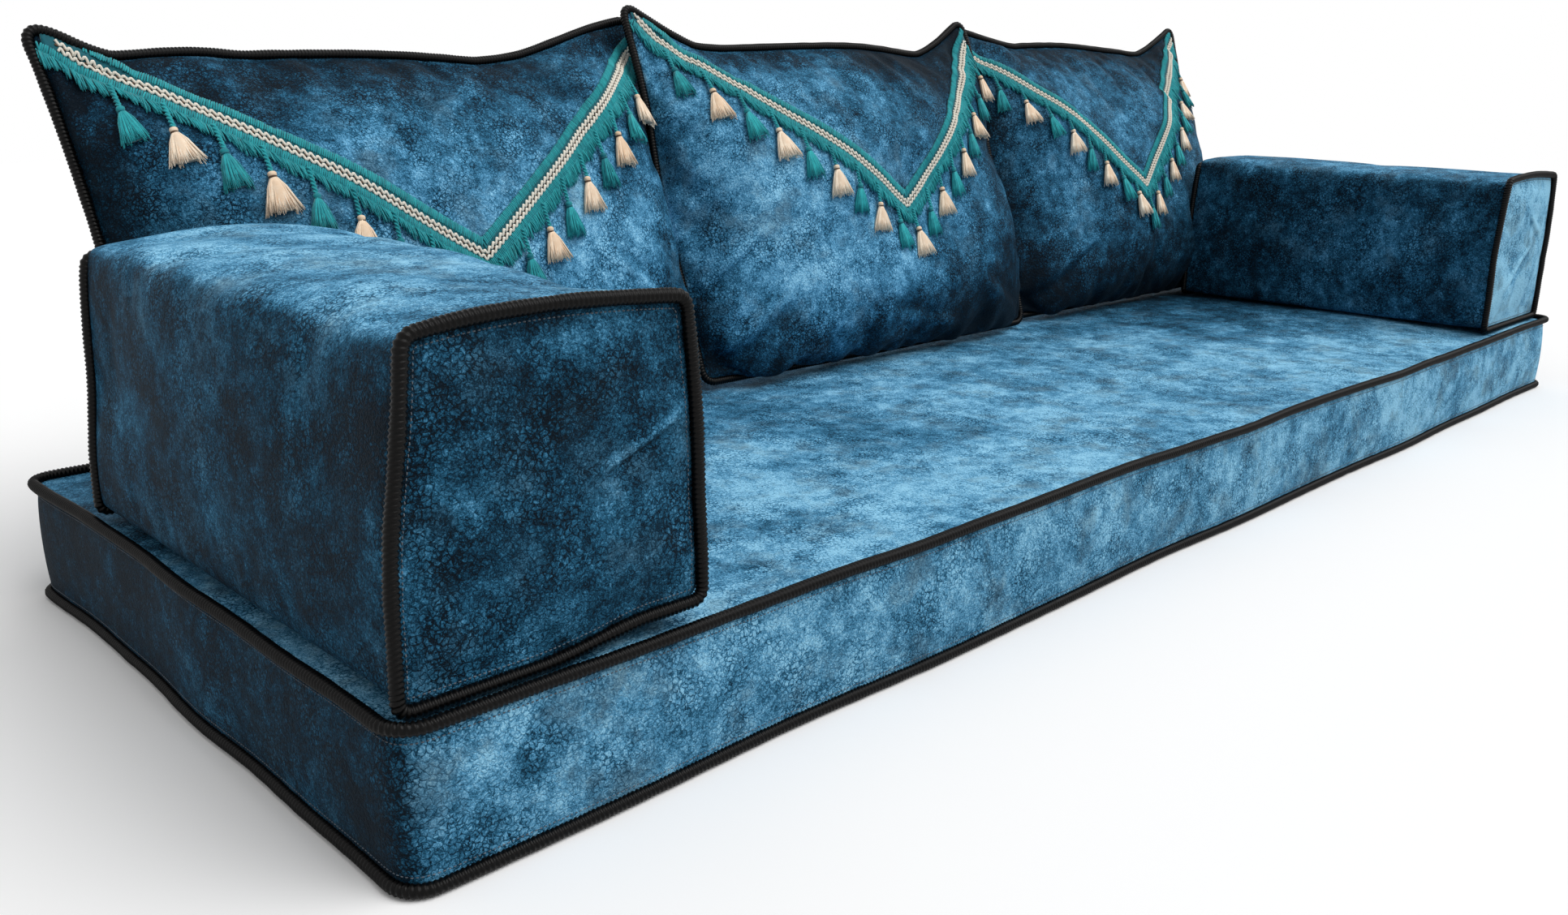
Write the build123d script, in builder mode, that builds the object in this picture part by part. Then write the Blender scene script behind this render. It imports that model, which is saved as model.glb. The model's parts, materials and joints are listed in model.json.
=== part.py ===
"""Majlis floor sofa: a piped foam mattress, two block armrests and three leaning back cushions.

Millimetres, +Z up. +X runs along the seat to the right-hand armrest, seen from the front, and +Y
runs from the front edge to the back. The origin is the centre of the mattress's underside.
"""
import os
from math import cos, radians, sin, sqrt, tan

from build123d import *

os.makedirs("parts", exist_ok=True)

# Cloth, piping and clearances shared by all the covers
fabric = 1.5
seat_gap = 0.3
overrun = 20
piping_radius = 5
piping_offset = 2.5  # from a cover's edge out to the piping's centre, each way

# Mattress
mattress_length = 1995
mattress_depth = 652
mattress_height = 107
mattress_corner = 18
core_chamfer = 8  # foam cut back above the bottom piping

# Armrests
arm_length = 484
arm_height = 210
arm_base_width = 220
arm_top_width = 194
arm_side_bulge = 3
arm_top_bulge = 5
arm_edge_round = 18
arm_left_inset = 117.5  # armrest's middle from the mattress's end
arm_right_inset = 113.5
arm_left_setback = 12.5  # armrest's front face behind the mattress's front face
arm_right_setback = 24

# Back cushions
cushion_width = 626
cushion_height = 432
cushion_lean = 18
cushion_left_inset = 383.9  # cushion's middle from the mattress's end
cushion_right_inset = 356.7
cushion_side_setback = 97  # seam's foot in front of the mattress's back face
cushion_middle_setback = 128
front_crown = 90
rear_crown = 55
end_crown = 6  # crown left at a cushion's two ends
edge_rise = 4  # height of a face where it meets the seam
seam_margin = 4  # how far the crowned forms run on past the outline
front_fullness = 2.4  # exponents of how late the crown falls away towards the ends
rear_fullness = 4
ear_run = 112
ear_rise = 36
ear_round = 8
shoulder_round = 150
side_draw = 9
top_bow = 5
station_shares = (-1, -0.95, -0.86, -0.72, -0.5, -0.25, 0, 0.25, 0.5, 0.72, 0.86, 0.95, 1)
slope_probe = 0.5  # half the step over which a face's slope is taken

# Braid, fringe and tassels of a back cushion
braid_width = 27
braid_thickness = 2.2
vee_apex = 158  # braid's centre line over the seam's foot, at the middle of the cushion
vee_angle = 37.5
fringe_drop = 14
scallop_sag = 3.5
tassel_pitch = 40
tassels_per_arm = 9
hanger_radius = 1.5
hanger_length = 22
tassel_head_radius = 4.5
tie_radius = 3.2
skirt_length = 37
skirt_depth = 8
teal_skirt_width = 25
cream_skirt_width = 33
hanger_clearance = 0.5
tassel_clearance = 0.7

# Zips
zip_tape_width = 26
zip_tape_thickness = 0.8
zip_tape_end = 12
zip_coil_width = 5.6
zip_coil_height = 1.6
zip_stop_length = 4
zip_stop_width = 8
zip_stop_height = 2.6
slider_length = 13
slider_wall = 1.7
slider_ear_thickness = 1.4
slider_ear_length = 5
pull_pin_radius = 0.9
pull_running_gap = 0.1
pull_eye_wall = 1.3
pull_length = 27
pull_thickness = 1.6
pull_end_round = 2
pull_hole_radius = 1.3
mattress_zip_length = 1400
mattress_zip_level = 53
arm_zip_length = 360
arm_zip_share = 0.24  # up the side of the armrest's section
cushion_zip_length = 330
cushion_zip_level = 46

# Places that follow from the sizes above
half_mattress = mattress_length / 2
arm_left_x = arm_left_inset - half_mattress
arm_right_x = half_mattress - arm_right_inset
cushion_left_x = cushion_left_inset - half_mattress
cushion_right_x = half_mattress - cushion_right_inset
cushion_side_y = mattress_depth / 2 - cushion_side_setback
cushion_middle_y = mattress_depth / 2 - cushion_middle_setback
piping_reach = sqrt(piping_radius**2 - piping_offset**2)
seam_notch = piping_reach - piping_offset + seat_gap
core_inset = fabric + seat_gap
bottom_piping_level = piping_radius + seat_gap
bottom_panel_notch = sqrt(piping_radius**2 - (bottom_piping_level - fabric) ** 2) - piping_offset + seat_gap
arm_base_level = mattress_height + seat_gap + piping_offset + piping_radius
cushion_piping_offset = piping_radius + seat_gap
half_width = cushion_width / 2
block_half_width = half_width + seam_margin
lean = radians(cushion_lean)
vee_slope = radians(vee_angle)
zip_tape_top = seat_gap + zip_tape_thickness
zip_channel_top = zip_tape_top + zip_coil_height + seat_gap
zip_channel_width = zip_coil_width + 2 * seat_gap
slider_top = zip_channel_top + slider_wall
slider_width = zip_channel_width + 2 * slider_wall
pull_eye_radius = pull_pin_radius + pull_running_gap + pull_eye_wall
pull_pin_level = slider_top + seat_gap + pull_eye_radius
pull_width = slider_width - 2 * slider_ear_thickness - 2 * seat_gap


def save(piece, label):
    """Name a finished piece and write it."""
    piece.part.label = label
    export_step(piece.part, f"parts/{label}.step")


def rounded_box(length, depth, corner, low, high):
    """Sketch of a rounded rectangle at one level, extruded up to another."""
    with BuildPart() as box:
        with BuildSketch(Plane.XY.offset(low)):
            RectangleRounded(length, depth, corner)
        extrude(amount=high - low)
    return box.part


def piping_round(loop):
    """Round piping swept along a closed loop of tangent lines and arcs."""
    with BuildPart() as piping:
        with BuildLine() as route:
            add(loop)
        with BuildSketch(Plane(origin=loop @ 0, z_dir=loop % 0)):
            Circle(piping_radius)
        sweep(path=route.wire())
    return piping


# Mattress: foam core
with BuildPart() as foam_core:
    add(
        rounded_box(
            mattress_length - 2 * core_inset,
            mattress_depth - 2 * core_inset,
            mattress_corner - core_inset,
            core_inset,
            mattress_height - core_inset,
        )
    )
    chamfer(foam_core.faces().sort_by(Axis.Z)[0].edges(), core_chamfer)
save(foam_core, "mattress_foam_core")

# Mattress: top and bottom panels and the band between them
with BuildPart() as top_panel:
    add(
        rounded_box(
            mattress_length - 2 * seam_notch,
            mattress_depth - 2 * seam_notch,
            mattress_corner - seam_notch,
            mattress_height - fabric,
            mattress_height,
        )
    )
save(top_panel, "mattress_top_panel")

with BuildPart() as bottom_panel:
    add(
        rounded_box(
            mattress_length - 2 * bottom_panel_notch,
            mattress_depth - 2 * bottom_panel_notch,
            mattress_corner - bottom_panel_notch,
            0,
            fabric,
        )
    )
save(bottom_panel, "mattress_bottom_panel")

band_low = bottom_piping_level + piping_reach + seat_gap
band_high = mattress_height - seam_notch
with BuildPart() as side_band:
    with BuildSketch(Plane.XY.offset(band_low)):
        RectangleRounded(mattress_length, mattress_depth, mattress_corner)
        RectangleRounded(
            mattress_length - 2 * fabric,
            mattress_depth - 2 * fabric,
            mattress_corner - fabric,
            mode=Mode.SUBTRACT,
        )
    extrude(amount=band_high - band_low)
save(side_band, "mattress_side_band")

# Mattress: piping round the top and bottom edges
for piping_name, piping_level in (
    ("mattress_top_piping", mattress_height + piping_offset),
    ("mattress_bottom_piping", bottom_piping_level),
):
    with BuildSketch(Plane.XY.offset(piping_level)) as piping_loop:
        RectangleRounded(
            mattress_length + 2 * piping_offset,
            mattress_depth + 2 * piping_offset,
            mattress_corner + piping_offset,
        )
    save(piping_round(piping_loop.sketch.face().outer_wire()), piping_name)


def slider_place(length):
    """Place of a closed zip's slider along its chain, from the chain's middle."""
    return slider_length / 2 + seat_gap - length / 2


def zip_pin_plane(face, length):
    """Plane across the pull's pin, its normal along the pin, for a zip on a face of a cover."""
    pin = face.from_local_coords((slider_place(length), 0, pull_pin_level))
    return Plane(origin=pin, x_dir=face.x_dir, z_dir=-face.y_dir)


def zip_closure(name, face, length):
    """Zip on a cover: chain on its tape, slider and pull.

    The face's origin is the chain's middle on the cloth, its local X runs along the chain and its
    local Z points out of the cover. The slider starts at the low end of X.
    """
    slider_x = slider_place(length)
    pin_plane = zip_pin_plane(face, length)

    with BuildPart() as chain:
        with BuildSketch(face.offset(seat_gap)):
            Rectangle(length + 2 * zip_tape_end, zip_tape_width)
        extrude(amount=zip_tape_thickness)
        with BuildSketch(face.offset(zip_tape_top)):
            Rectangle(length, zip_coil_width)
        extrude(amount=zip_coil_height)
        with BuildSketch(face.offset(zip_tape_top)):
            with GridLocations(length + zip_stop_length, 0, 2, 1):
                Rectangle(zip_stop_length, zip_stop_width)
        extrude(amount=zip_stop_height)
    save(chain, f"{name}_zip_chain")

    with BuildPart() as slider:
        with BuildSketch(face.offset(zip_tape_top + seat_gap)):
            with Locations((slider_x, 0)):
                Rectangle(slider_length, slider_width)
        extrude(amount=slider_top - zip_tape_top - seat_gap)
        with BuildSketch(face.offset(zip_tape_top)):
            with Locations((slider_x, 0)):
                Rectangle(slider_length + overrun, zip_channel_width)
        extrude(amount=zip_channel_top - zip_tape_top, mode=Mode.SUBTRACT)
        with BuildSketch(face.offset(slider_top)):
            with Locations((slider_x, 0)):
                with GridLocations(0, slider_width - slider_ear_thickness, 1, 2):
                    Rectangle(slider_ear_length, slider_ear_thickness)
        extrude(amount=pull_pin_level + pull_pin_radius + slider_wall / 2 - slider_top)
        with BuildSketch(pin_plane):
            Circle(pull_pin_radius)
        extrude(amount=slider_width / 2, both=True)
    save(slider, f"{name}_zip_slider")

    with BuildPart() as pull:
        with BuildSketch(pin_plane):
            Circle(pull_eye_radius)
            with Locations((pull_length / 2, 0)):
                Rectangle(pull_length, pull_thickness)
            Circle(pull_pin_radius + pull_running_gap, mode=Mode.SUBTRACT)
        extrude(amount=pull_width / 2, both=True)
        tip_corners = pull.edges().filter_by(Axis((0, 0, 0), face.z_dir))
        fillet(tip_corners.group_by(Axis((0, 0, 0), face.x_dir))[-1], pull_end_round)
        with BuildSketch(face.offset(pull_pin_level)):
            with Locations((slider_x + pull_length - pull_end_round - pull_hole_radius, 0)):
                Circle(pull_hole_radius)
        extrude(amount=pull_thickness, both=True, mode=Mode.SUBTRACT)
    save(pull, f"{name}_zip_pull")


mattress_zip_face = Plane(
    origin=(0, mattress_depth / 2, mattress_zip_level), x_dir=(1, 0, 0), z_dir=(0, 1, 0)
)
zip_closure("mattress", mattress_zip_face, mattress_zip_length)


def arm_section(plane, grow):
    """Face of an armrest's section on a plane whose local Y points up, grown outward."""
    half_base = arm_base_width / 2
    half_top = arm_top_width / 2
    half_middle = (half_base + half_top) / 2 + arm_side_bulge
    with BuildSketch(plane) as section:
        with BuildLine():
            Line((-half_base, 0), (half_base, 0))
            ThreePointArc((half_base, 0), (half_middle, arm_height / 2), (half_top, arm_height))
            ThreePointArc((half_top, arm_height), (0, arm_height + arm_top_bulge), (-half_top, arm_height))
            ThreePointArc((-half_top, arm_height), (-half_middle, arm_height / 2), (-half_base, 0))
        make_face()
        if grow != 0:
            offset(amount=grow, kind=Kind.INTERSECTION)
        fillet(section.vertices(), arm_edge_round + grow)
    return section.sketch.face()


def arm_zip_face(centre_x, front_y):
    """Plane that touches an armrest's right-hand side along its zip."""
    side_x = (arm_base_width + arm_top_width) / 4 + arm_side_bulge
    with BuildLine() as side:
        ThreePointArc((arm_base_width / 2, 0), (side_x, arm_height / 2), (arm_top_width / 2, arm_height))
    point = side.line @ arm_zip_share
    slope = side.line % arm_zip_share
    return Plane(
        origin=(centre_x + point.X, front_y + arm_length / 2, arm_base_level + point.Y),
        x_dir=(0, 1, 0),
        z_dir=(slope.Y, 0, -slope.X),
    )


def armrest(name, centre_x, setback):
    """One block armrest standing on its piping: core, sleeve, end panels, piping loops and zip."""
    front_y = setback - mattress_depth / 2
    front = Plane(origin=(centre_x, front_y, arm_base_level), x_dir=(1, 0, 0), z_dir=(0, -1, 0))

    with BuildPart() as core:
        extrude(arm_section(front.offset(-core_inset), -core_inset), amount=2 * core_inset - arm_length)
    save(core, f"{name}_foam_core")

    with BuildPart() as sleeve:
        extrude(arm_section(front.offset(-seam_notch), 0), amount=2 * seam_notch - arm_length)
        extrude(arm_section(front, -fabric), amount=-arm_length, mode=Mode.SUBTRACT)
    save(sleeve, f"{name}_sleeve")

    for end_name, panel_depth, piping_depth in (
        ("front", 0, -piping_offset),
        ("rear", arm_length - fabric, arm_length + piping_offset),
    ):
        with BuildPart() as panel:
            extrude(arm_section(front.offset(-panel_depth), -seam_notch), amount=-fabric)
        save(panel, f"{name}_{end_name}_panel")
        loop = arm_section(front.offset(-piping_depth), piping_offset).outer_wire()
        save(piping_round(loop), f"{name}_{end_name}_piping")

    zip_closure(name, arm_zip_face(centre_x, front_y), arm_zip_length)


armrest("arm_left", arm_left_x, arm_left_setback)
armrest("arm_right", arm_right_x, arm_right_setback)


def outline_top(u):
    """Height of a cushion's top seam over its foot at a place along its width."""
    shoulder = half_width - ear_run
    if abs(u) < shoulder:
        return cushion_height - ear_rise + top_bow * (1 - (u / shoulder) ** 2)
    return cushion_height - ear_rise * max(0, half_width - abs(u)) / ear_run


def cushion_outline(plane, grow):
    """Face of a cushion's outline on a plane: pointed corners, drawn-in sides, dipped top."""
    shoulder = (half_width - ear_run, cushion_height - ear_rise)
    with BuildSketch(plane) as outline:
        with BuildLine():
            Line((-half_width, 0), (half_width, 0))
            ThreePointArc(
                (half_width, 0), (half_width - side_draw, cushion_height / 2), (half_width, cushion_height)
            )
            Line((half_width, cushion_height), shoulder)
            ThreePointArc(shoulder, (0, shoulder[1] + top_bow), (-shoulder[0], shoulder[1]))
            Line((-shoulder[0], shoulder[1]), (-half_width, cushion_height))
            ThreePointArc(
                (-half_width, cushion_height), (side_draw - half_width, cushion_height / 2), (-half_width, 0)
            )
        make_face()
        fillet(outline.vertices().sort_by(lambda corner: abs(corner.X))[2:], ear_round)
        fillet(outline.vertices().sort_by(lambda corner: abs(corner.X))[:2], shoulder_round)
        if grow != 0:
            offset(amount=grow)
    return outline.sketch.face()


def crown_at(crown, fullness, u):
    """Greatest height of a crowned face at a place along the cushion's width."""
    share = min(1, abs(u) / block_half_width)
    return end_crown + (crown - end_crown) * (1 - share**fullness)


def face_height(crown, fullness, u, v):
    """Height of a crowned face over the seam's plane."""
    low = -seam_margin
    high = outline_top(u) + seam_margin
    middle = (low + high) / 2
    half_span = (high - low) / 2
    arch = crown_at(crown, fullness, u) - edge_rise
    radius = (half_span**2 + arch**2) / (2 * arch)
    return edge_rise + arch - radius + sqrt(radius**2 - (v - middle) ** 2)


def face_slopes(crown, fullness, u, v):
    """Slopes of a crowned face at a local place, across the cushion and up it."""
    right = face_height(crown, fullness, u + slope_probe, v)
    left = face_height(crown, fullness, u - slope_probe, v)
    above = face_height(crown, fullness, u, v + slope_probe)
    below = face_height(crown, fullness, u, v - slope_probe)
    return (right - left) / (2 * slope_probe), (above - below) / (2 * slope_probe)


def touching_plane(plane, crown, fullness, u, v):
    """Plane that touches a crowned face at a local place, its local Y up the face."""
    slope_u, slope_v = face_slopes(crown, fullness, u, v)
    return Plane(
        origin=plane.from_local_coords((u, v, face_height(crown, fullness, u, v))),
        x_dir=plane.x_dir + plane.z_dir * slope_u,
        z_dir=plane.z_dir - plane.x_dir * slope_u - plane.y_dir * slope_v,
    )


def point_over_front(plane, u, v, layer, reach):
    """Place a reach off the front face of a cushion, or off a layer of trimming on it."""
    slope_u, slope_v = face_slopes(front_crown, front_fullness, u, v)
    lift = reach * sqrt(1 + slope_u**2 + slope_v**2)
    return plane.from_local_coords((u, v, face_height(front_crown, front_fullness, u, v) + layer + lift))


def crown_block(plane, crown, fullness, lift):
    """Block under one crowned face, lofted from sections across the cushion and lifted off it."""
    with BuildPart() as block:
        for share in station_shares:
            u = share * block_half_width
            low = -seam_margin
            high = outline_top(u) + seam_margin
            arch_top = crown_at(crown, fullness, u) + lift
            shoulder_level = edge_rise + lift
            section_plane = Plane(
                origin=plane.from_local_coords((u, 0, 0)), x_dir=plane.y_dir, z_dir=plane.x_dir
            )
            with BuildSketch(section_plane):
                with BuildLine():
                    Line((high, -overrun), (low, -overrun))
                    Line((low, -overrun), (low, shoulder_level))
                    ThreePointArc(
                        (low, shoulder_level), ((low + high) / 2, arch_top), (high, shoulder_level)
                    )
                    Line((high, shoulder_level), (high, -overrun))
                make_face()
        loft()
    return block.part


def crowned_pad(plane, crown, fullness, inset, base):
    """Crowned form inside a cushion's outline, lowered and drawn in by one inset."""
    with BuildPart() as pad:
        add(crown_block(plane, crown, fullness, -inset))
        extrude(cushion_outline(plane.offset(base), -inset), amount=crown + overrun, mode=Mode.INTERSECT)
    return pad.part


def face_panel(plane, crown, fullness):
    """Cloth face of a cushion: a shell that ends at the seam's plane."""
    with BuildPart() as panel:
        add(crowned_pad(plane, crown, fullness, 0, 0))
        add(crowned_pad(plane, crown, fullness, fabric, -overrun / 2), mode=Mode.SUBTRACT)
    return panel


def vee_point(u, drop):
    """Local place on the braid's V at a place across the cushion, some way below its centre line."""
    return (u, vee_apex + abs(u) * tan(vee_slope) - drop / cos(vee_slope))


def vee_band(plane, high_drop, low_drop, scalloped):
    """Sketch of a band along the V between two drops, its lower edge straight or scalloped."""
    step = tassel_pitch * cos(vee_slope)
    with BuildSketch(plane) as band:
        with BuildLine():
            if scalloped:
                joints = [(k + 1 / 2) * step for k in range(-2 - tassels_per_arm, 2 + tassels_per_arm)]
                for start, end in zip(joints[:-1], joints[1:]):
                    first = vee_point(start, low_drop)
                    last = vee_point(end, low_drop)
                    lowest = ((first[0] + last[0]) / 2, (first[1] + last[1]) / 2 - scallop_sag)
                    ThreePointArc(first, lowest, last)
                reach = joints[-1]
            else:
                reach = cushion_width
                Polyline(vee_point(-reach, low_drop), vee_point(0, low_drop), vee_point(reach, low_drop))
            Polyline(
                vee_point(-reach, low_drop),
                vee_point(-reach, high_drop),
                vee_point(0, high_drop),
                vee_point(reach, high_drop),
                vee_point(reach, low_drop),
            )
        make_face()
        add(cushion_outline(Plane.XY, -seat_gap), mode=Mode.INTERSECT)
    return band.sketch


def tassel(skirt_width):
    """One tassel hanging down from its local origin: hanger, bound head and flattened skirt."""
    head_level = -hanger_length - tassel_head_radius
    tie_level = head_level - tie_radius
    with BuildPart() as hanging:
        with BuildSketch():
            Circle(hanger_radius)
        extrude(amount=head_level)
        with BuildSketch(Plane.XY.offset(tie_level)):
            Circle(tie_radius)
        with BuildSketch(Plane.XY.offset(tie_level - skirt_length)):
            Ellipse(skirt_width / 2, skirt_depth / 2)
        loft()
        with Locations((0, 0, head_level)):
            Sphere(tassel_head_radius)
    return hanging.part


def tassel_places(plane, first):
    """Places of every second tassel along the V, each hanging over the fringe and the crown."""
    places = []
    step = tassel_pitch * cos(vee_slope)
    drop_to_head = hanger_length + tassel_head_radius
    for index in range(first, 2 * tassels_per_arm, 2):
        u = (index - tassels_per_arm + 1 / 2) * step
        v = vee_point(u, braid_width / 2 + seat_gap)[1]
        top = point_over_front(plane, u, v, seat_gap + braid_thickness, hanger_radius + hanger_clearance)
        head = point_over_front(plane, u, v - drop_to_head, 0, tassel_head_radius + tassel_clearance)
        places.append(Plane(origin=top, x_dir=plane.x_dir, z_dir=top - head).location)
    return places


def cushion_planes(centre_x, foot_y):
    """Seam planes of a leaning cushion, one per face: local Y runs up the lean, local Z outward."""
    foot_level = mattress_height + seat_gap + piping_radius + cushion_piping_offset * cos(lean)
    foot = (centre_x, foot_y, foot_level)
    front = Plane(origin=foot, x_dir=(1, 0, 0), z_dir=(0, -cos(lean), sin(lean)))
    rear = Plane(origin=foot, x_dir=(-1, 0, 0), z_dir=(0, cos(lean), -sin(lean)))
    return front, rear


def cushion_zip_face(rear):
    """Plane that touches a cushion's rear face along its zip."""
    return touching_plane(rear, rear_crown, rear_fullness, 0, cushion_zip_level)


def back_cushion(name, centre_x, foot_y):
    """One back cushion: fibre insert, two faces, piping, trimmings and a zip in the rear face."""
    front, rear = cushion_planes(centre_x, foot_y)

    with BuildPart() as insert:
        add(crowned_pad(front, front_crown, front_fullness, core_inset, 0))
        add(crowned_pad(rear, rear_crown, rear_fullness, core_inset, 0))
    save(insert, f"{name}_fibre_insert")

    save(face_panel(front, front_crown, front_fullness), f"{name}_front_panel")
    save(face_panel(rear, rear_crown, rear_fullness), f"{name}_rear_panel")
    save(piping_round(cushion_outline(front, cushion_piping_offset).outer_wire()), f"{name}_piping")

    low_cloth = crown_block(front, front_crown, front_fullness, seat_gap)
    high_cloth = crown_block(front, front_crown, front_fullness, seat_gap + braid_thickness)
    half_braid = braid_width / 2
    for trim_name, high_drop, low_drop, scalloped in (
        ("braid", -half_braid, half_braid, False),
        ("fringe", half_braid + seat_gap, half_braid + fringe_drop, True),
    ):
        with BuildPart() as trim:
            add(high_cloth)
            band = vee_band(front, high_drop, low_drop, scalloped)
            extrude(band, amount=front_crown + overrun, mode=Mode.INTERSECT)
            add(low_cloth, mode=Mode.SUBTRACT)
        save(trim, f"{name}_{trim_name}")

    for tassel_name, skirt_width, first in (
        ("teal_tassels", teal_skirt_width, 0),
        ("cream_tassels", cream_skirt_width, 1),
    ):
        with BuildPart() as tassels:
            with Locations(*tassel_places(front, first)):
                add(tassel(skirt_width))
        save(tassels, f"{name}_{tassel_name}")

    zip_closure(name, cushion_zip_face(rear), cushion_zip_length)


back_cushion("cushion_left", cushion_left_x, cushion_side_y)
back_cushion("cushion_middle", 0, cushion_middle_y)
back_cushion("cushion_right", cushion_right_x, cushion_side_y)
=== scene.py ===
"""Looks of a majlis floor sofa in mottled blue velvet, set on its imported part.

Every length is in metres, in the part's own frame: +X runs along the seat to the right-hand
armrest, +Y from the front edge to the back, and +Z up from the floor.
"""
import json
import logging
import math
from dataclasses import dataclass, field
from enum import Enum

import bpy
import numpy as np
from mathutils import Matrix, Vector
from mathutils.bvhtree import BVHTree

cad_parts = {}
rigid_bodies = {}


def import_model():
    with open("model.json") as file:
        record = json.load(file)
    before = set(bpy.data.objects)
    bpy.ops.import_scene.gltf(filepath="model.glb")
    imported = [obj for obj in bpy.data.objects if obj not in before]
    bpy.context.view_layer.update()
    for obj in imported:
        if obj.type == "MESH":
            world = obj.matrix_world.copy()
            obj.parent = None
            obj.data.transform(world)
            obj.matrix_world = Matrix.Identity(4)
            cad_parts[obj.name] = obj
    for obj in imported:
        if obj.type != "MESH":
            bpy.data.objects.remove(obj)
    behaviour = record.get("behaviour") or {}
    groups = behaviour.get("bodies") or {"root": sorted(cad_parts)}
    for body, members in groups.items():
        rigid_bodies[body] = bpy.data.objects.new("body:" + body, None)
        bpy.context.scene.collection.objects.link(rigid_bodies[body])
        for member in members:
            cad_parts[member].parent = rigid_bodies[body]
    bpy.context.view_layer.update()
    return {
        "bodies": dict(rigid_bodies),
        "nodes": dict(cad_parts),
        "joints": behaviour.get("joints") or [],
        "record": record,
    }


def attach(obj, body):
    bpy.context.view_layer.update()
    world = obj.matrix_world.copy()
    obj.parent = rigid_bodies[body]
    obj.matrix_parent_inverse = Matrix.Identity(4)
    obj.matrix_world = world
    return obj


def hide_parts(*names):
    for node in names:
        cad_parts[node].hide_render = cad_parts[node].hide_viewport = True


log = logging.getLogger("majlis")

MM = 0.001
Colour = tuple[float, float, float, float]


class Slot(Enum):
    """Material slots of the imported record."""

    VELVET = "blue_velvet"
    PIPING = "black_piping"
    TEAL = "teal_trim"
    BRAID = "braid"
    CREAM = "cream_tassel"
    TAPE = "zip_tape"
    METAL = "zip_metal"


def linear(red: int, green: int, blue: int) -> Colour:
    """Scene-linear colour of a display colour given from 0 to 255."""
    parts = [channel / 255 for channel in (red, green, blue)]
    return tuple(p / 12.92 if p <= 0.04045 else ((p + 0.055) / 1.055) ** 2.4 for p in parts) + (1.0,)


def ease(low: float, high: float, value: np.ndarray) -> np.ndarray:
    """Smooth rise from 0 at low to 1 at high."""
    share = np.clip((np.asarray(value, float) - low) / (high - low), 0, 1)
    return share * share * (3 - 2 * share)


def unit(rows: np.ndarray) -> np.ndarray:
    """Rows scaled to length 1."""
    return rows / np.maximum(np.linalg.norm(rows, axis=1, keepdims=True), 1e-12)


@dataclass(frozen=True)
class Wander:
    """Smooth seeded unevenness made of a few plane waves."""

    seed: int
    wavelength: float
    amplitude: float
    waves: int = 16

    def at(self, points: np.ndarray) -> np.ndarray:
        """Unevenness at some places.

        Args:
            points: Rows of x, y, z.

        Returns:
            One height per row.
        """
        rng = np.random.default_rng(self.seed)
        lengths = self.wavelength * rng.uniform(0.7, 1.7, self.waves)
        vectors = unit(rng.normal(size=(self.waves, 3))) * (2 * math.pi / lengths)[:, None]
        phases = rng.uniform(0, 2 * math.pi, self.waves)
        return self.amplitude * np.sin(points @ vectors.T + phases).sum(1) / math.sqrt(self.waves / 2)


@dataclass(frozen=True)
class Fold:
    """One crease across a cloth face, from one local place to another."""

    start: tuple[float, float]
    end: tuple[float, float]
    width: float
    depth: float

    def height(self, u: np.ndarray, v: np.ndarray) -> np.ndarray:
        """Height of the crease's raised lip and the hollow beside it.

        Args:
            u: Local places across the face.
            v: Local places up the face.

        Returns:
            One height per place.
        """
        along = np.array(self.end) - np.array(self.start)
        length = float(np.hypot(*along))
        direction = along / length
        du, dv = u - self.start[0], v - self.start[1]
        run = (du * direction[0] + dv * direction[1]) / length
        off = (dv * direction[0] - du * direction[1]) / self.width
        fade = ease(-0.15, 0.25, run) * ease(1.15, 0.75, run)
        return self.depth * fade * (np.exp(-((off - 0.6) ** 2)) - np.exp(-((off + 0.6) ** 2)))


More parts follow.
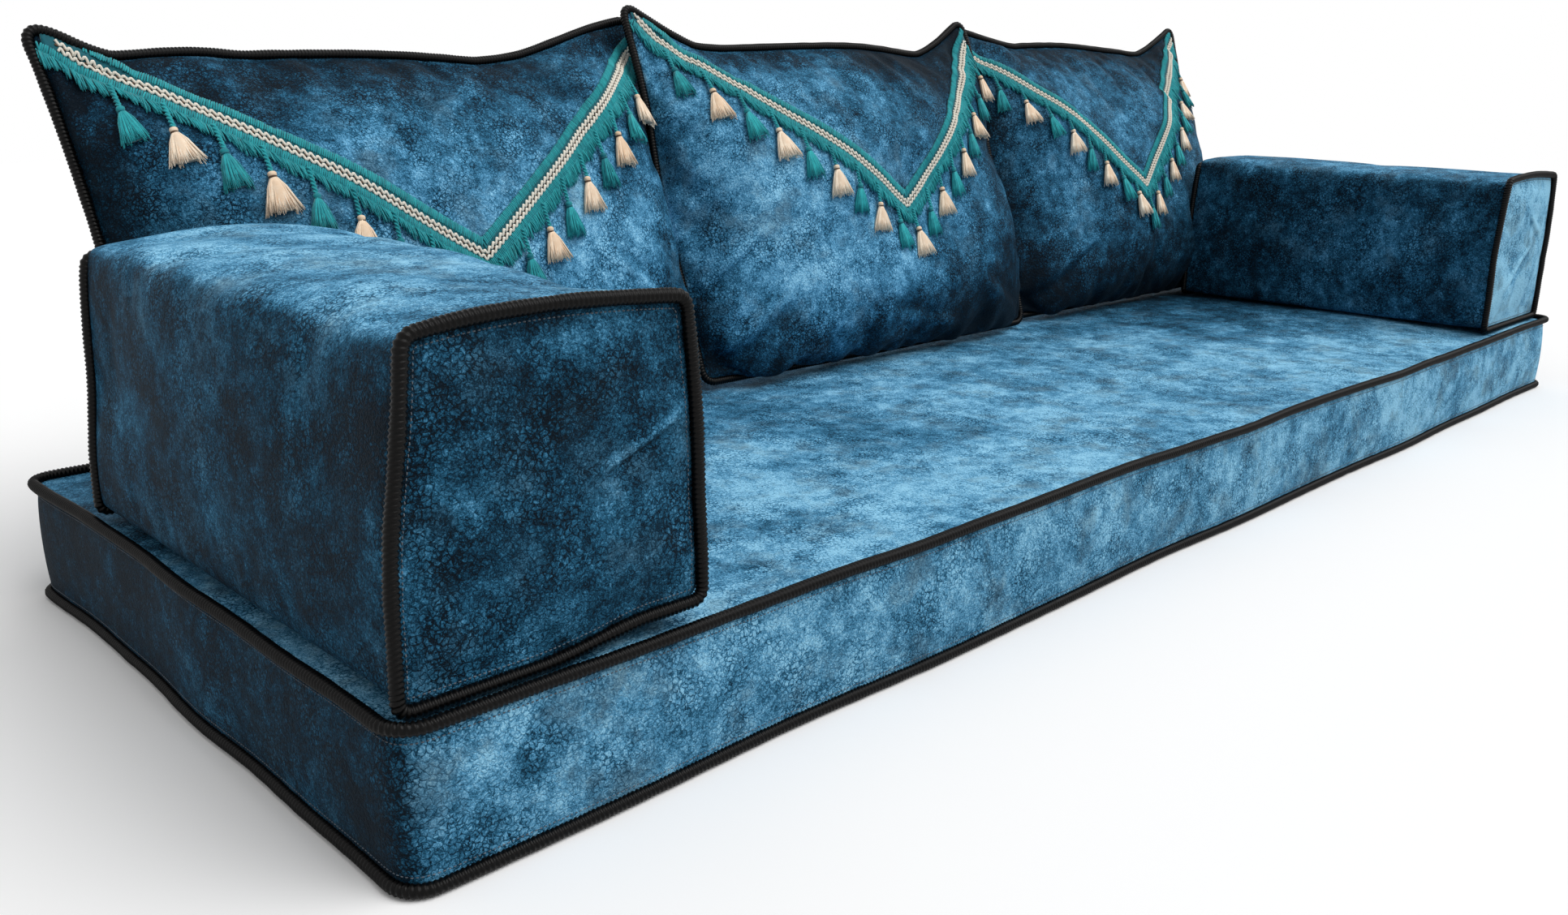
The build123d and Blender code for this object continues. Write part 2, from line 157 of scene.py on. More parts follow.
class NodeGraph:
    """Short hand for wiring the nodes of one tree."""

    def __init__(self, tree: bpy.types.NodeTree) -> None:
        """Keep the tree that the nodes go in."""
        self.tree = tree

    def add(self, kind: str, inputs: dict | None = None, **settings: object) -> bpy.types.Node:
        """Add a node.

        Args:
            kind: The node's type name.
            inputs: Values or output sockets by input name or number.
            settings: Properties of the node.

        Returns:
            The new node.
        """
        node = self.tree.nodes.new(kind)
        for name, value in settings.items():
            setattr(node, name, value)
        for key, value in (inputs or {}).items():
            if isinstance(value, bpy.types.NodeSocket):
                self.tree.links.new(value, node.inputs[key])
            else:
                node.inputs[key].default_value = value
        return node

    def math(self, operation: str, first: object, second: object = 0.0) -> bpy.types.NodeSocket:
        """Output of a math node on two values."""
        return self.add("ShaderNodeMath", {0: first, 1: second}, operation=operation).outputs[0]

    def spread(self, value: object, low: float, high: float, to_low: float, to_high: float) -> bpy.types.NodeSocket:
        """Value mapped from one range onto another and held inside it."""
        limits = {1: low, 2: high, 3: to_low, 4: to_high}
        return self.add("ShaderNodeMapRange", {0: value, **limits}).outputs[0]

    def blend(self, share: object, first: object, second: object) -> bpy.types.NodeSocket:
        """Colour between two colours."""
        node = self.add("ShaderNodeMix", data_type="RGBA")
        for socket, value in ((node.inputs[0], share), (node.inputs[6], first), (node.inputs[7], second)):
            if isinstance(value, bpy.types.NodeSocket):
                self.tree.links.new(value, socket)
            else:
                socket.default_value = value
        return node.outputs[2]

    def ramp(self, value: object, stops: list[tuple[float, Colour]]) -> bpy.types.NodeSocket:
        """Colour picked from a row of stops."""
        node = self.add("ShaderNodeValToRGB", {0: value})
        elements = node.color_ramp.elements
        for place, colour in stops[2:]:
            elements.new(place).color = colour
        for element, (place, colour) in zip(elements, sorted(stops)):
            element.position, element.color = place, colour
        return node.outputs[0]

    def noise(self, place: object, scale: float, detail: float = 2, rough: float = 0.5) -> bpy.types.Node:
        """Noise texture at a place."""
        inputs = {"Vector": place, "Scale": scale, "Detail": detail, "Roughness": rough}
        return self.add("ShaderNodeTexNoise", inputs)

    def attribute(self, name: str) -> bpy.types.NodeSocket:
        """Number that a mesh keeps under a name."""
        return self.add("ShaderNodeAttribute", attribute_name=name).outputs["Fac"]


class Finish:
    """Base of the finishes: makes each material once and keeps it by name."""

    def material(self) -> bpy.types.Material:
        """The finish's material, made at its first use."""
        name = self.name
        if name not in bpy.data.materials:
            made = bpy.data.materials.new(name)
            made.use_nodes = True
            graph = NodeGraph(made.node_tree)
            self.wire(graph, made.node_tree.nodes["Principled BSDF"].inputs)
        return bpy.data.materials[name]


@dataclass(frozen=True)
class Velvet(Finish):
    """Short-pile velvet, crackled and mottled from near black to bright azure."""

    name: str = "mottled_velvet"
    deep: Colour = linear(2, 14, 24)
    dark: Colour = linear(12, 52, 74)
    middle: Colour = linear(45, 106, 140)
    bright: Colour = linear(95, 162, 202)
    pale: Colour = linear(152, 212, 242)
    dusk: Colour = linear(72, 92, 102)

    def wire(self, graph: NodeGraph, shader: bpy.types.bpy_prop_collection) -> None:
        """Wire blotches, mottling, dusky patches, grain and crackle into the shader.

        Args:
            graph: The material's nodes.
            shader: Inputs of its shader.
        """
        place = graph.add("ShaderNodeTexCoord").outputs["Object"]
        drift = graph.noise(place, 210, 3, 0.6).outputs["Color"]
        nudge = graph.add("ShaderNodeVectorMath", {0: drift, 1: (-0.5, -0.5, -0.5)}, operation="ADD").outputs[0]
        nudge = graph.add("ShaderNodeVectorMath", {0: nudge, "Scale": 0.0062}, operation="SCALE").outputs[0]
        warped = graph.add("ShaderNodeVectorMath", {0: place, 1: nudge}, operation="ADD").outputs[0]
        blotch = graph.noise(warped, 12, 6, 0.62).outputs[0]
        mottle = graph.noise(warped, 60, 5, 0.72).outputs[0]
        grain = graph.noise(warped, 460, 3, 0.65).outputs[0]
        wide, fine = (
            graph.add(
                "ShaderNodeTexVoronoi", {"Vector": warped, "Scale": scale, "Randomness": 1.0}, feature="DISTANCE_TO_EDGE"
            ).outputs["Distance"]
            for scale in (230, 480)
        )
        cracked = graph.spread(graph.noise(place, 21, 3, 0.6).outputs[0], 0.44, 0.62, 0.15, 1.0)
        line = graph.math("MULTIPLY", graph.spread(wide, 0.0, 0.15, -0.42, 0.02), cracked)
        line = graph.math("ADD", line, graph.spread(fine, 0.0, 0.18, -0.2, 0.02))
        total = graph.math("MULTIPLY", graph.math("SUBTRACT", blotch, 0.5), 1.15)
        for part, gain in ((mottle, 1.05), (grain, 0.85)):
            share = graph.math("MULTIPLY", graph.math("SUBTRACT", part, 0.5), gain)
            total = graph.math("ADD", total, share)
        # The tone attribute brings in the painted light and shade laid on each cover, with its random slow tone.
        total = graph.math("ADD", graph.math("ADD", total, line), graph.math("ADD", graph.attribute("tone"), 0.58))
        cloth = graph.ramp(
            total,
            [(0.0, self.deep), (1.0, self.pale), (0.26, self.dark), (0.52, self.middle), (0.76, self.bright)],
        )
        dusky = graph.spread(graph.noise(warped, 19, 5, 0.68).outputs[0], 0.5, 0.66, 0.0, 0.55)
        dusky = graph.math("MULTIPLY", dusky, graph.spread(total, 0.25, 0.6, 0.1, 1.0))
        graph.tree.links.new(graph.blend(dusky, cloth, self.dusk), shader["Base Color"])
        height = graph.math("ADD", graph.math("MULTIPLY", grain, 0.6), graph.spread(wide, 0, 0.16, 0, 0.9))
        bump = graph.add("ShaderNodeBump", {"Strength": 0.5, "Distance": 0.0012, "Height": height})
        graph.tree.links.new(bump.outputs[0], shader["Normal"])
        shader["Roughness"].default_value = 0.7
        shader["Specular IOR Level"].default_value = 0.08
        shader["Sheen Weight"].default_value = 0.04
        shader["Sheen Roughness"].default_value = 0.4
        shader["Sheen Tint"].default_value = linear(150, 205, 245)


@dataclass(frozen=True)
class WoundThread(Finish):
    """Glossy thread wound tightly round the piping's cord."""

    name: str = "wound_black_thread"
    # The groove colour is painted shade in the hollows between the turns.
    groove: Colour = linear(1, 1, 1)
    ridge: Colour = linear(13, 11, 10)

    def wire(self, graph: NodeGraph, shader: bpy.types.bpy_prop_collection) -> None:
        """Wire each turn's groove, darkened with painted shade, and its lighter crest.

        Args:
            graph: The material's nodes.
            shader: Inputs of its shader.
        """
        place = graph.add("ShaderNodeTexCoord").outputs["Object"]
        worn = graph.noise(place, 160, 3).outputs[0]
        crest = graph.math("MULTIPLY", graph.attribute("wrap"), graph.spread(worn, 0.3, 0.75, 0.35, 1.0))
        graph.tree.links.new(graph.blend(crest, self.groove, self.ridge), shader["Base Color"])
        fibre = graph.noise(place, 1500, 2).outputs[0]
        bump = graph.add("ShaderNodeBump", {"Strength": 0.35, "Distance": 0.0003, "Height": fibre})
        graph.tree.links.new(bump.outputs[0], shader["Normal"])
        graph.tree.links.new(graph.spread(worn, 0.3, 0.7, 0.28, 0.42), shader["Roughness"])
        shader["Specular IOR Level"].default_value = 0.12


@dataclass(frozen=True)
class Yarn(Finish):
    """Soft spun yarn whose strands differ a little in shade."""

    name: str
    shade: Colour
    light: Colour
    rough: float = 0.72

    def wire(self, graph: NodeGraph, shader: bpy.types.bpy_prop_collection) -> None:
        """Wire the strand's own shade and the fibre's fine grain.

        Args:
            graph: The material's nodes.
            shader: Inputs of its shader.
        """
        place = graph.add("ShaderNodeTexCoord").outputs["Object"]
        cloud = graph.noise(place, 240, 3).outputs[0]
        own = graph.math("ADD", graph.math("MULTIPLY", graph.attribute("shade"), 0.35), graph.attribute("tint"))
        share = graph.math("ADD", own, graph.math("MULTIPLY", cloud, 0.6))
        graph.tree.links.new(graph.blend(share, self.shade, self.light), shader["Base Color"])
        fibre = graph.noise(place, 1800, 2).outputs[0]
        bump = graph.add("ShaderNodeBump", {"Strength": 0.4, "Distance": 0.0003, "Height": fibre})
        graph.tree.links.new(bump.outputs[0], shader["Normal"])
        shader["Roughness"].default_value = self.rough
        shader["Specular IOR Level"].default_value = 0.25
        shader["Sheen Weight"].default_value = 0.25
        shader["Sheen Roughness"].default_value = 0.4


@dataclass(frozen=True)
class Metal(Finish):
    """Dark plated metal of the zips' sliders and pulls."""

    name: str = "dark_plated_metal"
    plate: Colour = linear(92, 90, 92)

    def wire(self, graph: NodeGraph, shader: bpy.types.bpy_prop_collection) -> None:
        """Wire faint wear into the plating.

        Args:
            graph: The material's nodes.
            shader: Inputs of its shader.
        """
        place = graph.add("ShaderNodeTexCoord").outputs["Object"]
        wear = graph.noise(place, 300, 4).outputs[0]
        graph.tree.links.new(graph.blend(wear, linear(60, 58, 60), self.plate), shader["Base Color"])
        graph.tree.links.new(graph.spread(wear, 0.3, 0.7, 0.24, 0.42), shader["Roughness"])
        shader["Metallic"].default_value = 1.0


VELVET = Velvet()
THREAD = WoundThread()
TEAL_YARN = Yarn("teal_yarn", linear(6, 102, 114), linear(52, 186, 192))
TEAL_DARK = Yarn("teal_ground", linear(2, 66, 78), linear(14, 118, 130))
CREAM_YARN = Yarn("cream_yarn", linear(232, 198, 164), linear(255, 243, 224))
PALE_YARN = Yarn("pale_chain_yarn", linear(214, 206, 190), linear(248, 244, 232))
BROWN_YARN = Yarn("brown_tie_yarn", linear(56, 40, 30), linear(110, 86, 66))
GREY_THREAD = Yarn("grey_stitch_thread", linear(58, 66, 76), linear(118, 128, 138))
TAPE_WEAVE = Yarn("zip_tape_weave", linear(12, 16, 26), linear(34, 40, 54), 0.85)
METAL = Metal()


def mesh_object(
    name: str, points: np.ndarray, faces: list | np.ndarray, finish: Finish | None, **numbers: np.ndarray
) -> bpy.types.Object:
    """Make a smooth mesh object.

    Args:
        name: The object's name.
        points: Rows of x, y, z.
        faces: Corner numbers of each face.
        finish: What it is dressed in.
        numbers: Values that the mesh keeps per point, by name.

    Returns:
        The new object, in the scene.
    """
    mesh = bpy.data.meshes.new(name)
    mesh.from_pydata(np.asarray(points, float).tolist(), [], [list(map(int, face)) for face in faces])
    for key, values in numbers.items():
        values = np.asarray(values, np.float32)
        kind = "FLOAT_VECTOR" if values.ndim == 2 else "FLOAT"
        target = mesh.attributes.new(key, kind, "POINT")
        target.data.foreach_set("vector" if values.ndim == 2 else "value", values.ravel())
    mesh.shade_smooth()
    if finish is not None:
        mesh.materials.append(finish.material())
    made = bpy.data.objects.new(name, mesh)
    bpy.context.scene.collection.objects.link(made)
    return made


def points_of(piece: bpy.types.Object) -> np.ndarray:
    """Rows of a mesh object's vertices."""
    rows = np.zeros(len(piece.data.vertices) * 3, np.float32)
    piece.data.vertices.foreach_get("co", rows)
    return rows.reshape(-1, 3).astype(float)


def set_points(piece: bpy.types.Object, rows: np.ndarray) -> None:
    """Move a mesh object's vertices to some rows."""
    piece.data.vertices.foreach_set("co", np.asarray(rows, np.float32).ravel())
    piece.data.update()


def settle_mesh(piece: bpy.types.Object) -> bpy.types.Object:
    """Turn what an object's modifiers make into its plain mesh."""
    graph = bpy.context.evaluated_depsgraph_get()
    made = bpy.data.meshes.new_from_object(piece.evaluated_get(graph))
    piece.modifiers.clear()
    old, piece.data = piece.data, made
    bpy.data.meshes.remove(old)
    made.name = piece.name
    return piece


def subdivide(piece: bpy.types.Object, levels: int) -> None:
    """Smooth a mesh by subdivision."""
    divider = piece.modifiers.new("smooth", "SUBSURF")
    divider.levels = divider.render_levels = levels
    settle_mesh(piece)


def crease(piece: bpy.types.Object, sewn: np.ndarray) -> None:
    """Keep a seam's line through subdivision.

    Args:
        piece: A cover.
        sewn: Whether each vertex lies on a seam.
    """
    ends = np.zeros(len(piece.data.edges) * 2, np.int32)
    piece.data.edges.foreach_get("vertices", ends)
    held = sewn[ends].reshape(-1, 2).all(1)
    target = piece.data.attributes.new("crease_edge", "FLOAT", "EDGE")
    target.data.foreach_set("value", held.astype(np.float32))


def box_lattice(cells: tuple[int, int, int]) -> tuple[np.ndarray, np.ndarray]:
    """Surface of a box cut into cells.

    Args:
        cells: Number of cells along each axis.

    Returns:
        Vertices from -1 to 1 on each axis, and quads that face out.
    """
    found = []
    for axis in range(3):
        first, second = (axis + 1) % 3, (axis + 2) % 3
        i, j = (grid.ravel() for grid in np.meshgrid(range(cells[first]), range(cells[second]), indexing="ij"))
        for side, ring in ((cells[axis], (0, 1, 2, 3)), (0, (3, 2, 1, 0))):
            quad = np.zeros((len(i), 4, 3), int)
            for corner, step in enumerate(ring):
                quad[:, corner, axis] = side
                quad[:, corner, first] = i + (step in (1, 2))
                quad[:, corner, second] = j + (step in (2, 3))
            found.append(quad)
    quads = np.concatenate(found)
    vertices, numbers = np.unique(quads.reshape(-1, 3), axis=0, return_inverse=True)
    return vertices / np.array(cells) * 2 - 1, numbers.reshape(-1, 4)


def rounded(p: np.ndarray, q: np.ndarray, half_p: float, half_q: float, radius: float) -> tuple:
    """Places in a rectangle moved so that its corners are round.

    Args:
        p: Shares from -1 to 1 across.
        q: Shares from -1 to 1 up.
        half_p: Half the width.
        half_q: Half the height.
        radius: Radius of the corners.

    Returns:
        The moved shares.
    """
    over_p = np.abs(p) * half_p - (half_p - radius)
    over_q = np.abs(q) * half_q - (half_q - radius)
    inside = (over_p > 0) & (over_q > 0)
    scale = np.where(inside, np.maximum(over_p, over_q) / np.maximum(np.hypot(over_p, over_q), 1e-9), 1)
    new_p = np.where(inside, half_p - radius + over_p * scale, np.abs(p) * half_p)
    new_q = np.where(inside, half_q - radius + over_q * scale, np.abs(q) * half_q)
    return np.sign(p) * new_p / half_p, np.sign(q) * new_q / half_q


@dataclass
class Seam:
    """A closed seam: its line and, at each point, the way out of the cover."""

    line: np.ndarray
    outward: np.ndarray

    def resampled(self, count: int) -> "Seam":
        """The seam with evenly spaced points.

        Args:
            count: Number of points.

        Returns:
            The new seam.
        """
        closed = np.vstack([self.line, self.line[:1]])
        reach = np.concatenate([[0], np.cumsum(np.linalg.norm(np.diff(closed, axis=0), axis=1))])
        want = np.linspace(0, reach[-1], count, endpoint=False)
        out = np.vstack([self.outward, self.outward[:1]])
        line = np.stack([np.interp(want, reach, closed[:, k]) for k in range(3)], 1)
        outward = np.stack([np.interp(want, reach, out[:, k]) for k in range(3)], 1)
        return Seam(line, unit(outward))

    def length(self) -> float:
        """Length of the closed line."""
        return float(np.linalg.norm(np.roll(self.line, -1, 0) - self.line, axis=1).sum())

    def tangents(self) -> np.ndarray:
        """Direction of the line at each point."""
        return unit(np.roll(self.line, -1, 0) - np.roll(self.line, 1, 0))


@dataclass(frozen=True)
class Piping:
    """Cord piping covered in wound thread."""

    radius: float = 5 * MM
    wrap_pitch: float = 3.5 * MM
    wrap_depth: float = 1.0 * MM
    wrap_slant: float = 0.8 * MM
    samples: int = 4
    sides: int = 10

    def build(self, name: str, seam: Seam) -> bpy.types.Object:
        """Wind one closed length of piping.

        Args:
            name: The piece's name.
            seam: Its centre line.

        Returns:
            The piece.
        """
        wraps = round(seam.length() / self.wrap_pitch)
        course = seam.resampled(wraps * self.samples)
        count = len(course.line)
        ahead = course.tangents()
        out = unit(course.outward - (course.outward * ahead).sum(1, keepdims=True) * ahead)
        across = np.cross(ahead, out)
        crest = 0.5 + 0.5 * np.cos(np.arange(count) * 2 * math.pi / self.samples)
        swell = Wander(7, 0.03, 0.022).at(course.line)
        radius = self.radius * (1 + swell) - self.wrap_depth * (1 - crest)
        turn = np.linspace(0, 2 * math.pi, self.sides, endpoint=False)
        ring = (
            course.line[:, None]
            + radius[:, None, None] * (np.cos(turn)[:, None] * out[:, None] + np.sin(turn)[:, None] * across[:, None])
            + self.wrap_slant * np.sin(turn)[:, None] * ahead[:, None]
        )
        i, j = (grid.ravel() for grid in np.meshgrid(range(count), range(self.sides), indexing="ij"))
        after, beside = (i + 1) % count, (j + 1) % self.sides
        faces = np.stack([i, after, after, i], 1) * self.sides + np.stack([j, j, beside, beside], 1)
        # The wrap share also sets the thread's painted shade in the grooves between the turns.
        piece = mesh_object(name, ring.reshape(-1, 3), faces[:, ::-1], THREAD, wrap=np.repeat(crest, self.sides))
        return piece


class Copies:
    """Many copies of one small piece, set on points by a node tree."""

    TREE = "set_copies_on_points"

    def tree(self) -> bpy.types.NodeTree:
        """The node tree, made at its first use."""
        if self.TREE in bpy.data.node_groups:
            return bpy.data.node_groups[self.TREE]
        made = bpy.data.node_groups.new(self.TREE, "GeometryNodeTree")
        face = made.interface
        for label, kind in (
            ("Places", "NodeSocketGeometry"),
            ("Piece", "NodeSocketObject"),
            ("Tilt Spread", "NodeSocketFloat"),
            ("Size Spread", "NodeSocketFloat"),
            ("Seed", "NodeSocketInt"),
            ("Finish", "NodeSocketMaterial"),
        ):
            face.new_socket(label, in_out="INPUT", socket_type=kind)
        face.new_socket("Pieces", in_out="OUTPUT", socket_type="NodeSocketGeometry")
        graph = NodeGraph(made)
        given = graph.add("NodeGroupInput").outputs
        along, outward, size = (
            graph.add("GeometryNodeInputNamedAttribute", {"Name": name}, data_type="FLOAT_VECTOR").outputs[0]
            for name in ("along", "outward", "size")
        )
        facing = graph.add("FunctionNodeAxesToRotation", {0: along, 1: outward}, primary_axis="Y", secondary_axis="Z")
        low = graph.add("ShaderNodeVectorMath", {0: (-1, -1, -1), "Scale": given["Tilt Spread"]}, operation="SCALE")
        high = graph.add("ShaderNodeVectorMath", {0: (1, 1, 1), "Scale": given["Tilt Spread"]}, operation="SCALE")
        tilt = graph.add(
            "FunctionNodeRandomValue", {0: low.outputs[0], 1: high.outputs[0], "Seed": given["Seed"]}, data_type="FLOAT_VECTOR"
        ).outputs[0]
        turned = graph.add(
            "FunctionNodeRotateRotation",
            {0: facing.outputs[0], 1: graph.add("FunctionNodeEulerToRotation", {0: tilt}).outputs[0]},
            rotation_space="LOCAL",
        )
        least = graph.math("SUBTRACT", 1.0, given["Size Spread"])
        most = graph.math("ADD", 1.0, given["Size Spread"])
        factor = graph.add(
            "FunctionNodeRandomValue", {2: least, 3: most, "Seed": graph.math("ADD", given["Seed"], 11)}, data_type="FLOAT"
        ).outputs[1]
        scale = graph.add("ShaderNodeVectorMath", {0: size, "Scale": factor}, operation="SCALE").outputs[0]
        model = graph.add("GeometryNodeObjectInfo", {"Object": given["Piece"], "As Instance": True})
        copies = graph.add(
            "GeometryNodeInstanceOnPoints",
            {"Points": given["Places"], "Instance": model.outputs["Geometry"], "Rotation": turned.outputs[0], "Scale": scale},
        )
        shade = graph.add(
            "FunctionNodeRandomValue", {"Seed": graph.math("ADD", given["Seed"], 23)}, data_type="FLOAT"
        ).outputs[1]
        kept = graph.add(
            "GeometryNodeStoreNamedAttribute",
            {"Geometry": copies.outputs[0], "Name": "shade", "Value": shade},
            data_type="FLOAT",
            domain="INSTANCE",
        )
        whole = graph.add("GeometryNodeRealizeInstances", {0: kept.outputs[0]})
        dressed = graph.add("GeometryNodeSetMaterial", {"Geometry": whole.outputs[0], "Material": given["Finish"]})
        graph.add("NodeGroupOutput", {0: dressed.outputs[0]})
        return made

    def build(
        self,
        name: str,
        model: bpy.types.Object,
        places: np.ndarray,
        along: np.ndarray,
        outward: np.ndarray,
        size: np.ndarray,
        finish: Finish,
        tilt: float = 0.0,
        spread: float = 0.0,
        seed: int = 1,
    ) -> bpy.types.Object:
        """Set copies of a model on some places.

        Args:
            name: The piece's name.
            model: The small piece, its length along local Y and its outer side local Z.
            places: Where the copies go.
            along: Direction of each copy's local Y.
            outward: Direction of each copy's local Z.
            size: Scale of each copy along its own axes.
            finish: What they are dressed in.
            tilt: Greatest random turn, in radians.
            spread: Greatest random share added to the size.
            seed: Seed of the random values.

        Returns:
            One plain mesh of all the copies.
        """
        piece = mesh_object(name, places, [], None, along=along, outward=outward, size=size)
        tree = self.tree()
        setter = piece.modifiers.new("copies", "NODES")
        setter.node_group = tree
        values = {
            "Piece": model,
            "Tilt Spread": tilt,
            "Size Spread": spread,
            "Seed": seed,
            "Finish": finish.material(),
        }
        for item in tree.interface.items_tree:
            if item.name in values:
                setter[item.identifier] = values[item.name]
        settle_mesh(piece)
        piece.data.shade_smooth()
        bpy.data.objects.remove(model)
        return piece


def rod(name: str, sides: int, stations: list[tuple[float, float, float]]) -> bpy.types.Object:
    """Closed rod along local Y.

    Args:
        name: The model's name.
        sides: Corners of its section.
        stations: Place along Y, radius and lift along Z of each section.

    Returns:
        The model.
    """
    turn = np.linspace(0, 2 * math.pi, sides, endpoint=False)
    points = [
        (radius * math.sin(angle), place, lift + radius * math.cos(angle))
        for place, radius, lift in stations
        for angle in turn
    ]
    faces = [
        (k * sides + j, k * sides + (j + 1) % sides, (k + 1) * sides + (j + 1) % sides, (k + 1) * sides + j)
        for k in range(len(stations) - 1)
        for j in range(sides)
    ]
    last = (len(stations) - 1) * sides
    faces += [tuple(range(sides))[::-1], tuple(range(last, last + sides))]
    return mesh_object(name, np.array(points), faces, None)


def laid_cord(
    name: str, line: np.ndarray, outward: np.ndarray, radius: float, finish: Finish, tint: np.ndarray, sides: int = 6
) -> bpy.types.Object:
    """Round cord along an open line.

    Args:
        name: The piece's name.
        line: Rows of its centre line.
        outward: A direction off the cloth at each row.
        radius: The cord's radius.
        finish: What it is dressed in.
        tint: Shade added at each row.
        sides: Corners of its section.

    Returns:
        The piece.
    """
    ahead = unit(np.gradient(line, axis=0))
    across = unit(np.cross(ahead, outward))
    out = np.cross(across, ahead)
    turn = np.linspace(0, 2 * math.pi, sides, endpoint=False)
    ring = line[:, None] + radius * (np.cos(turn)[:, None] * out[:, None] + np.sin(turn)[:, None] * across[:, None])
    count = len(line)
    i, j = (grid.ravel() for grid in np.meshgrid(range(count - 1), range(sides), indexing="ij"))
    beside = (j + 1) % sides
    faces = (np.stack([i, i + 1, i + 1, i], 1) * sides + np.stack([j, j, beside, beside], 1)).tolist()
    faces += [list(range(sides)), list(range((count - 1) * sides, count * sides))[::-1]]
    return mesh_object(name, ring.reshape(-1, 3), [face[::-1] for face in faces], finish, tint=np.repeat(tint, sides))


@dataclass(frozen=True)
class StitchRow:
    """Row of stitches beside a piping."""

    pitch: float = 3.3 * MM
    length: float = 2.2 * MM
    thickness: float = 0.42 * MM

    def build(self, name: str, guide: Seam, cover: BVHTree) -> bpy.types.Object:
        """Sew a row of stitches on a cover.

        Args:
            name: The piece's name.
            guide: Line near the cover that the row follows.
            cover: The cover's surface.

        Returns:
            The piece.
        """
        course = guide.resampled(round(guide.length() / self.pitch))
        found = [cover.find_nearest(Vector(place)) for place in course.line]
        places = np.array([hit[0] for hit in found])
        outward = np.array([hit[1] for hit in found])
        model = rod("stitch", 4, [(-1.0, 0.25, -0.6), (-0.5, 1.0, 0.6), (0.5, 1.0, 0.6), (1.0, 0.25, -0.6)])
        size = np.tile([self.thickness, self.length / 2, self.thickness], (len(places), 1))
        piece = Copies().build(
            name, model, places, course.tangents(), outward, size, GREY_THREAD, tilt=0.05, spread=0.08, seed=5
        )
        return piece


@dataclass(frozen=True)
class Stuffing:
    """How sewn covers are blown up while their seams stay where they are."""

    pressure: float = 2.6
    growth: float = 0.035
    cap: float = 26 * MM
    frames: int = 20

    def fill(self, covers: list[bpy.types.Object]) -> None:
        """Blow up some covers with cloth simulation and keep the result.

        Args:
            covers: Closed meshes whose seam vertices are in the group named seam.
        """
        starts = [points_of(cover) for cover in covers]
        for cover in covers:
            cloth = cover.modifiers.new("stuffing", "CLOTH")
            cloth.settings.quality = 5
            cloth.settings.mass = 0.25
            cloth.settings.tension_stiffness = cloth.settings.compression_stiffness = 22
            cloth.settings.shear_stiffness = 10
            cloth.settings.bending_stiffness = 0.35
            cloth.settings.tension_damping = cloth.settings.compression_damping = 12
            cloth.settings.air_damping = 3
            cloth.settings.shrink_min = cloth.settings.shrink_max = -self.growth
            cloth.settings.vertex_group_mass = "seam"
            cloth.settings.use_pressure = True
            cloth.settings.uniform_pressure_force = self.pressure
            cloth.settings.effector_weights.gravity = 0
            cloth.collision_settings.use_collision = False
            cloth.collision_settings.use_self_collision = False
            cloth.point_cache.frame_start, cloth.point_cache.frame_end = 1, self.frames
        for frame in range(1, self.frames + 1):
            bpy.context.scene.frame_set(frame)
        for cover, start in zip(covers, starts):
            settle_mesh(cover)
            move = points_of(cover) - start
            reach = np.linalg.norm(move, axis=1, keepdims=True)
            set_points(cover, start + move * np.minimum(1, self.cap / np.maximum(reach, 1e-9)))
        bpy.context.scene.frame_set(1)


def surface_of(piece: bpy.types.Object) -> BVHTree:
    """Search tree of a plain mesh object's surface."""
    return BVHTree.FromPolygons([tuple(v.co) for v in piece.data.vertices], [tuple(p.vertices) for p in piece.data.polygons])


@dataclass(frozen=True)
class PaintedLightAndTone:
    """Painted light and shade on a cover's velvet by the way each place faces and along a slope across the piece, over
    a base tone with random slow tone.
    """

    tone: float = 0.0
    # up, left and front: painted light where positive and painted shade where negative, on places facing up, to the
    # left and to the front; lean: painted light and shade sloping across the piece.
    up: float = 0.2
    left: float = -0.1
    front: float = 0.0
    lean: tuple[float, float, float] = (0.0, 0.0, 0.0)
    seed: int = 1

    def at(self, rows: np.ndarray, normals: np.ndarray) -> np.ndarray:
        """Tone added to the mottling at each vertex: painted light and shade, with random slow tone.

        Args:
            rows: Places of the vertices.
            normals: Their normals.

        Returns:
            One tone per vertex.
        """
        # Painted light and shade by the way each place faces and by a slope across the piece; slow is random tone.
        up, left, front = (np.clip(part, 0, 1) ** 1.5 for part in (normals[:, 2], -normals[:, 0], -normals[:, 1]))
        slope = (rows - (rows.min(0) + rows.max(0)) / 2) @ np.array(self.lean)
        slow = Wander(self.seed, 0.42, 0.05).at(rows)
        return self.tone + self.up * up + self.left * left + self.front * front + slope + slow


def dress_cover(piece: bpy.types.Object, painted_light_and_tone: PaintedLightAndTone, painted_light: np.ndarray | float = 0.0) -> None:
    """Give a stuffed cover its tone with painted light and shade, and its finish.

    Args:
        piece: The cover's final mesh.
        painted_light_and_tone: Its painted light and shade by facing and slope, with random tone.
        painted_light: Painted light and shade added at each vertex.
    """
    normals = np.zeros(len(piece.data.vertices) * 3, np.float32)
    piece.data.vertices.foreach_get("normal", normals)
    # Painted light and shade by facing and slope, plus the cover's own painted highlights and shadows.
    shade = painted_light_and_tone.at(points_of(piece), normals.reshape(-1, 3)) + painted_light
    target = piece.data.attributes.get("tone") or piece.data.attributes.new("tone", "FLOAT", "POINT")
    target.data.foreach_set("value", shade.astype(np.float32))
    piece.data.materials.clear()
    piece.data.materials.append(VELVET.material())
    piece.data.shade_smooth()


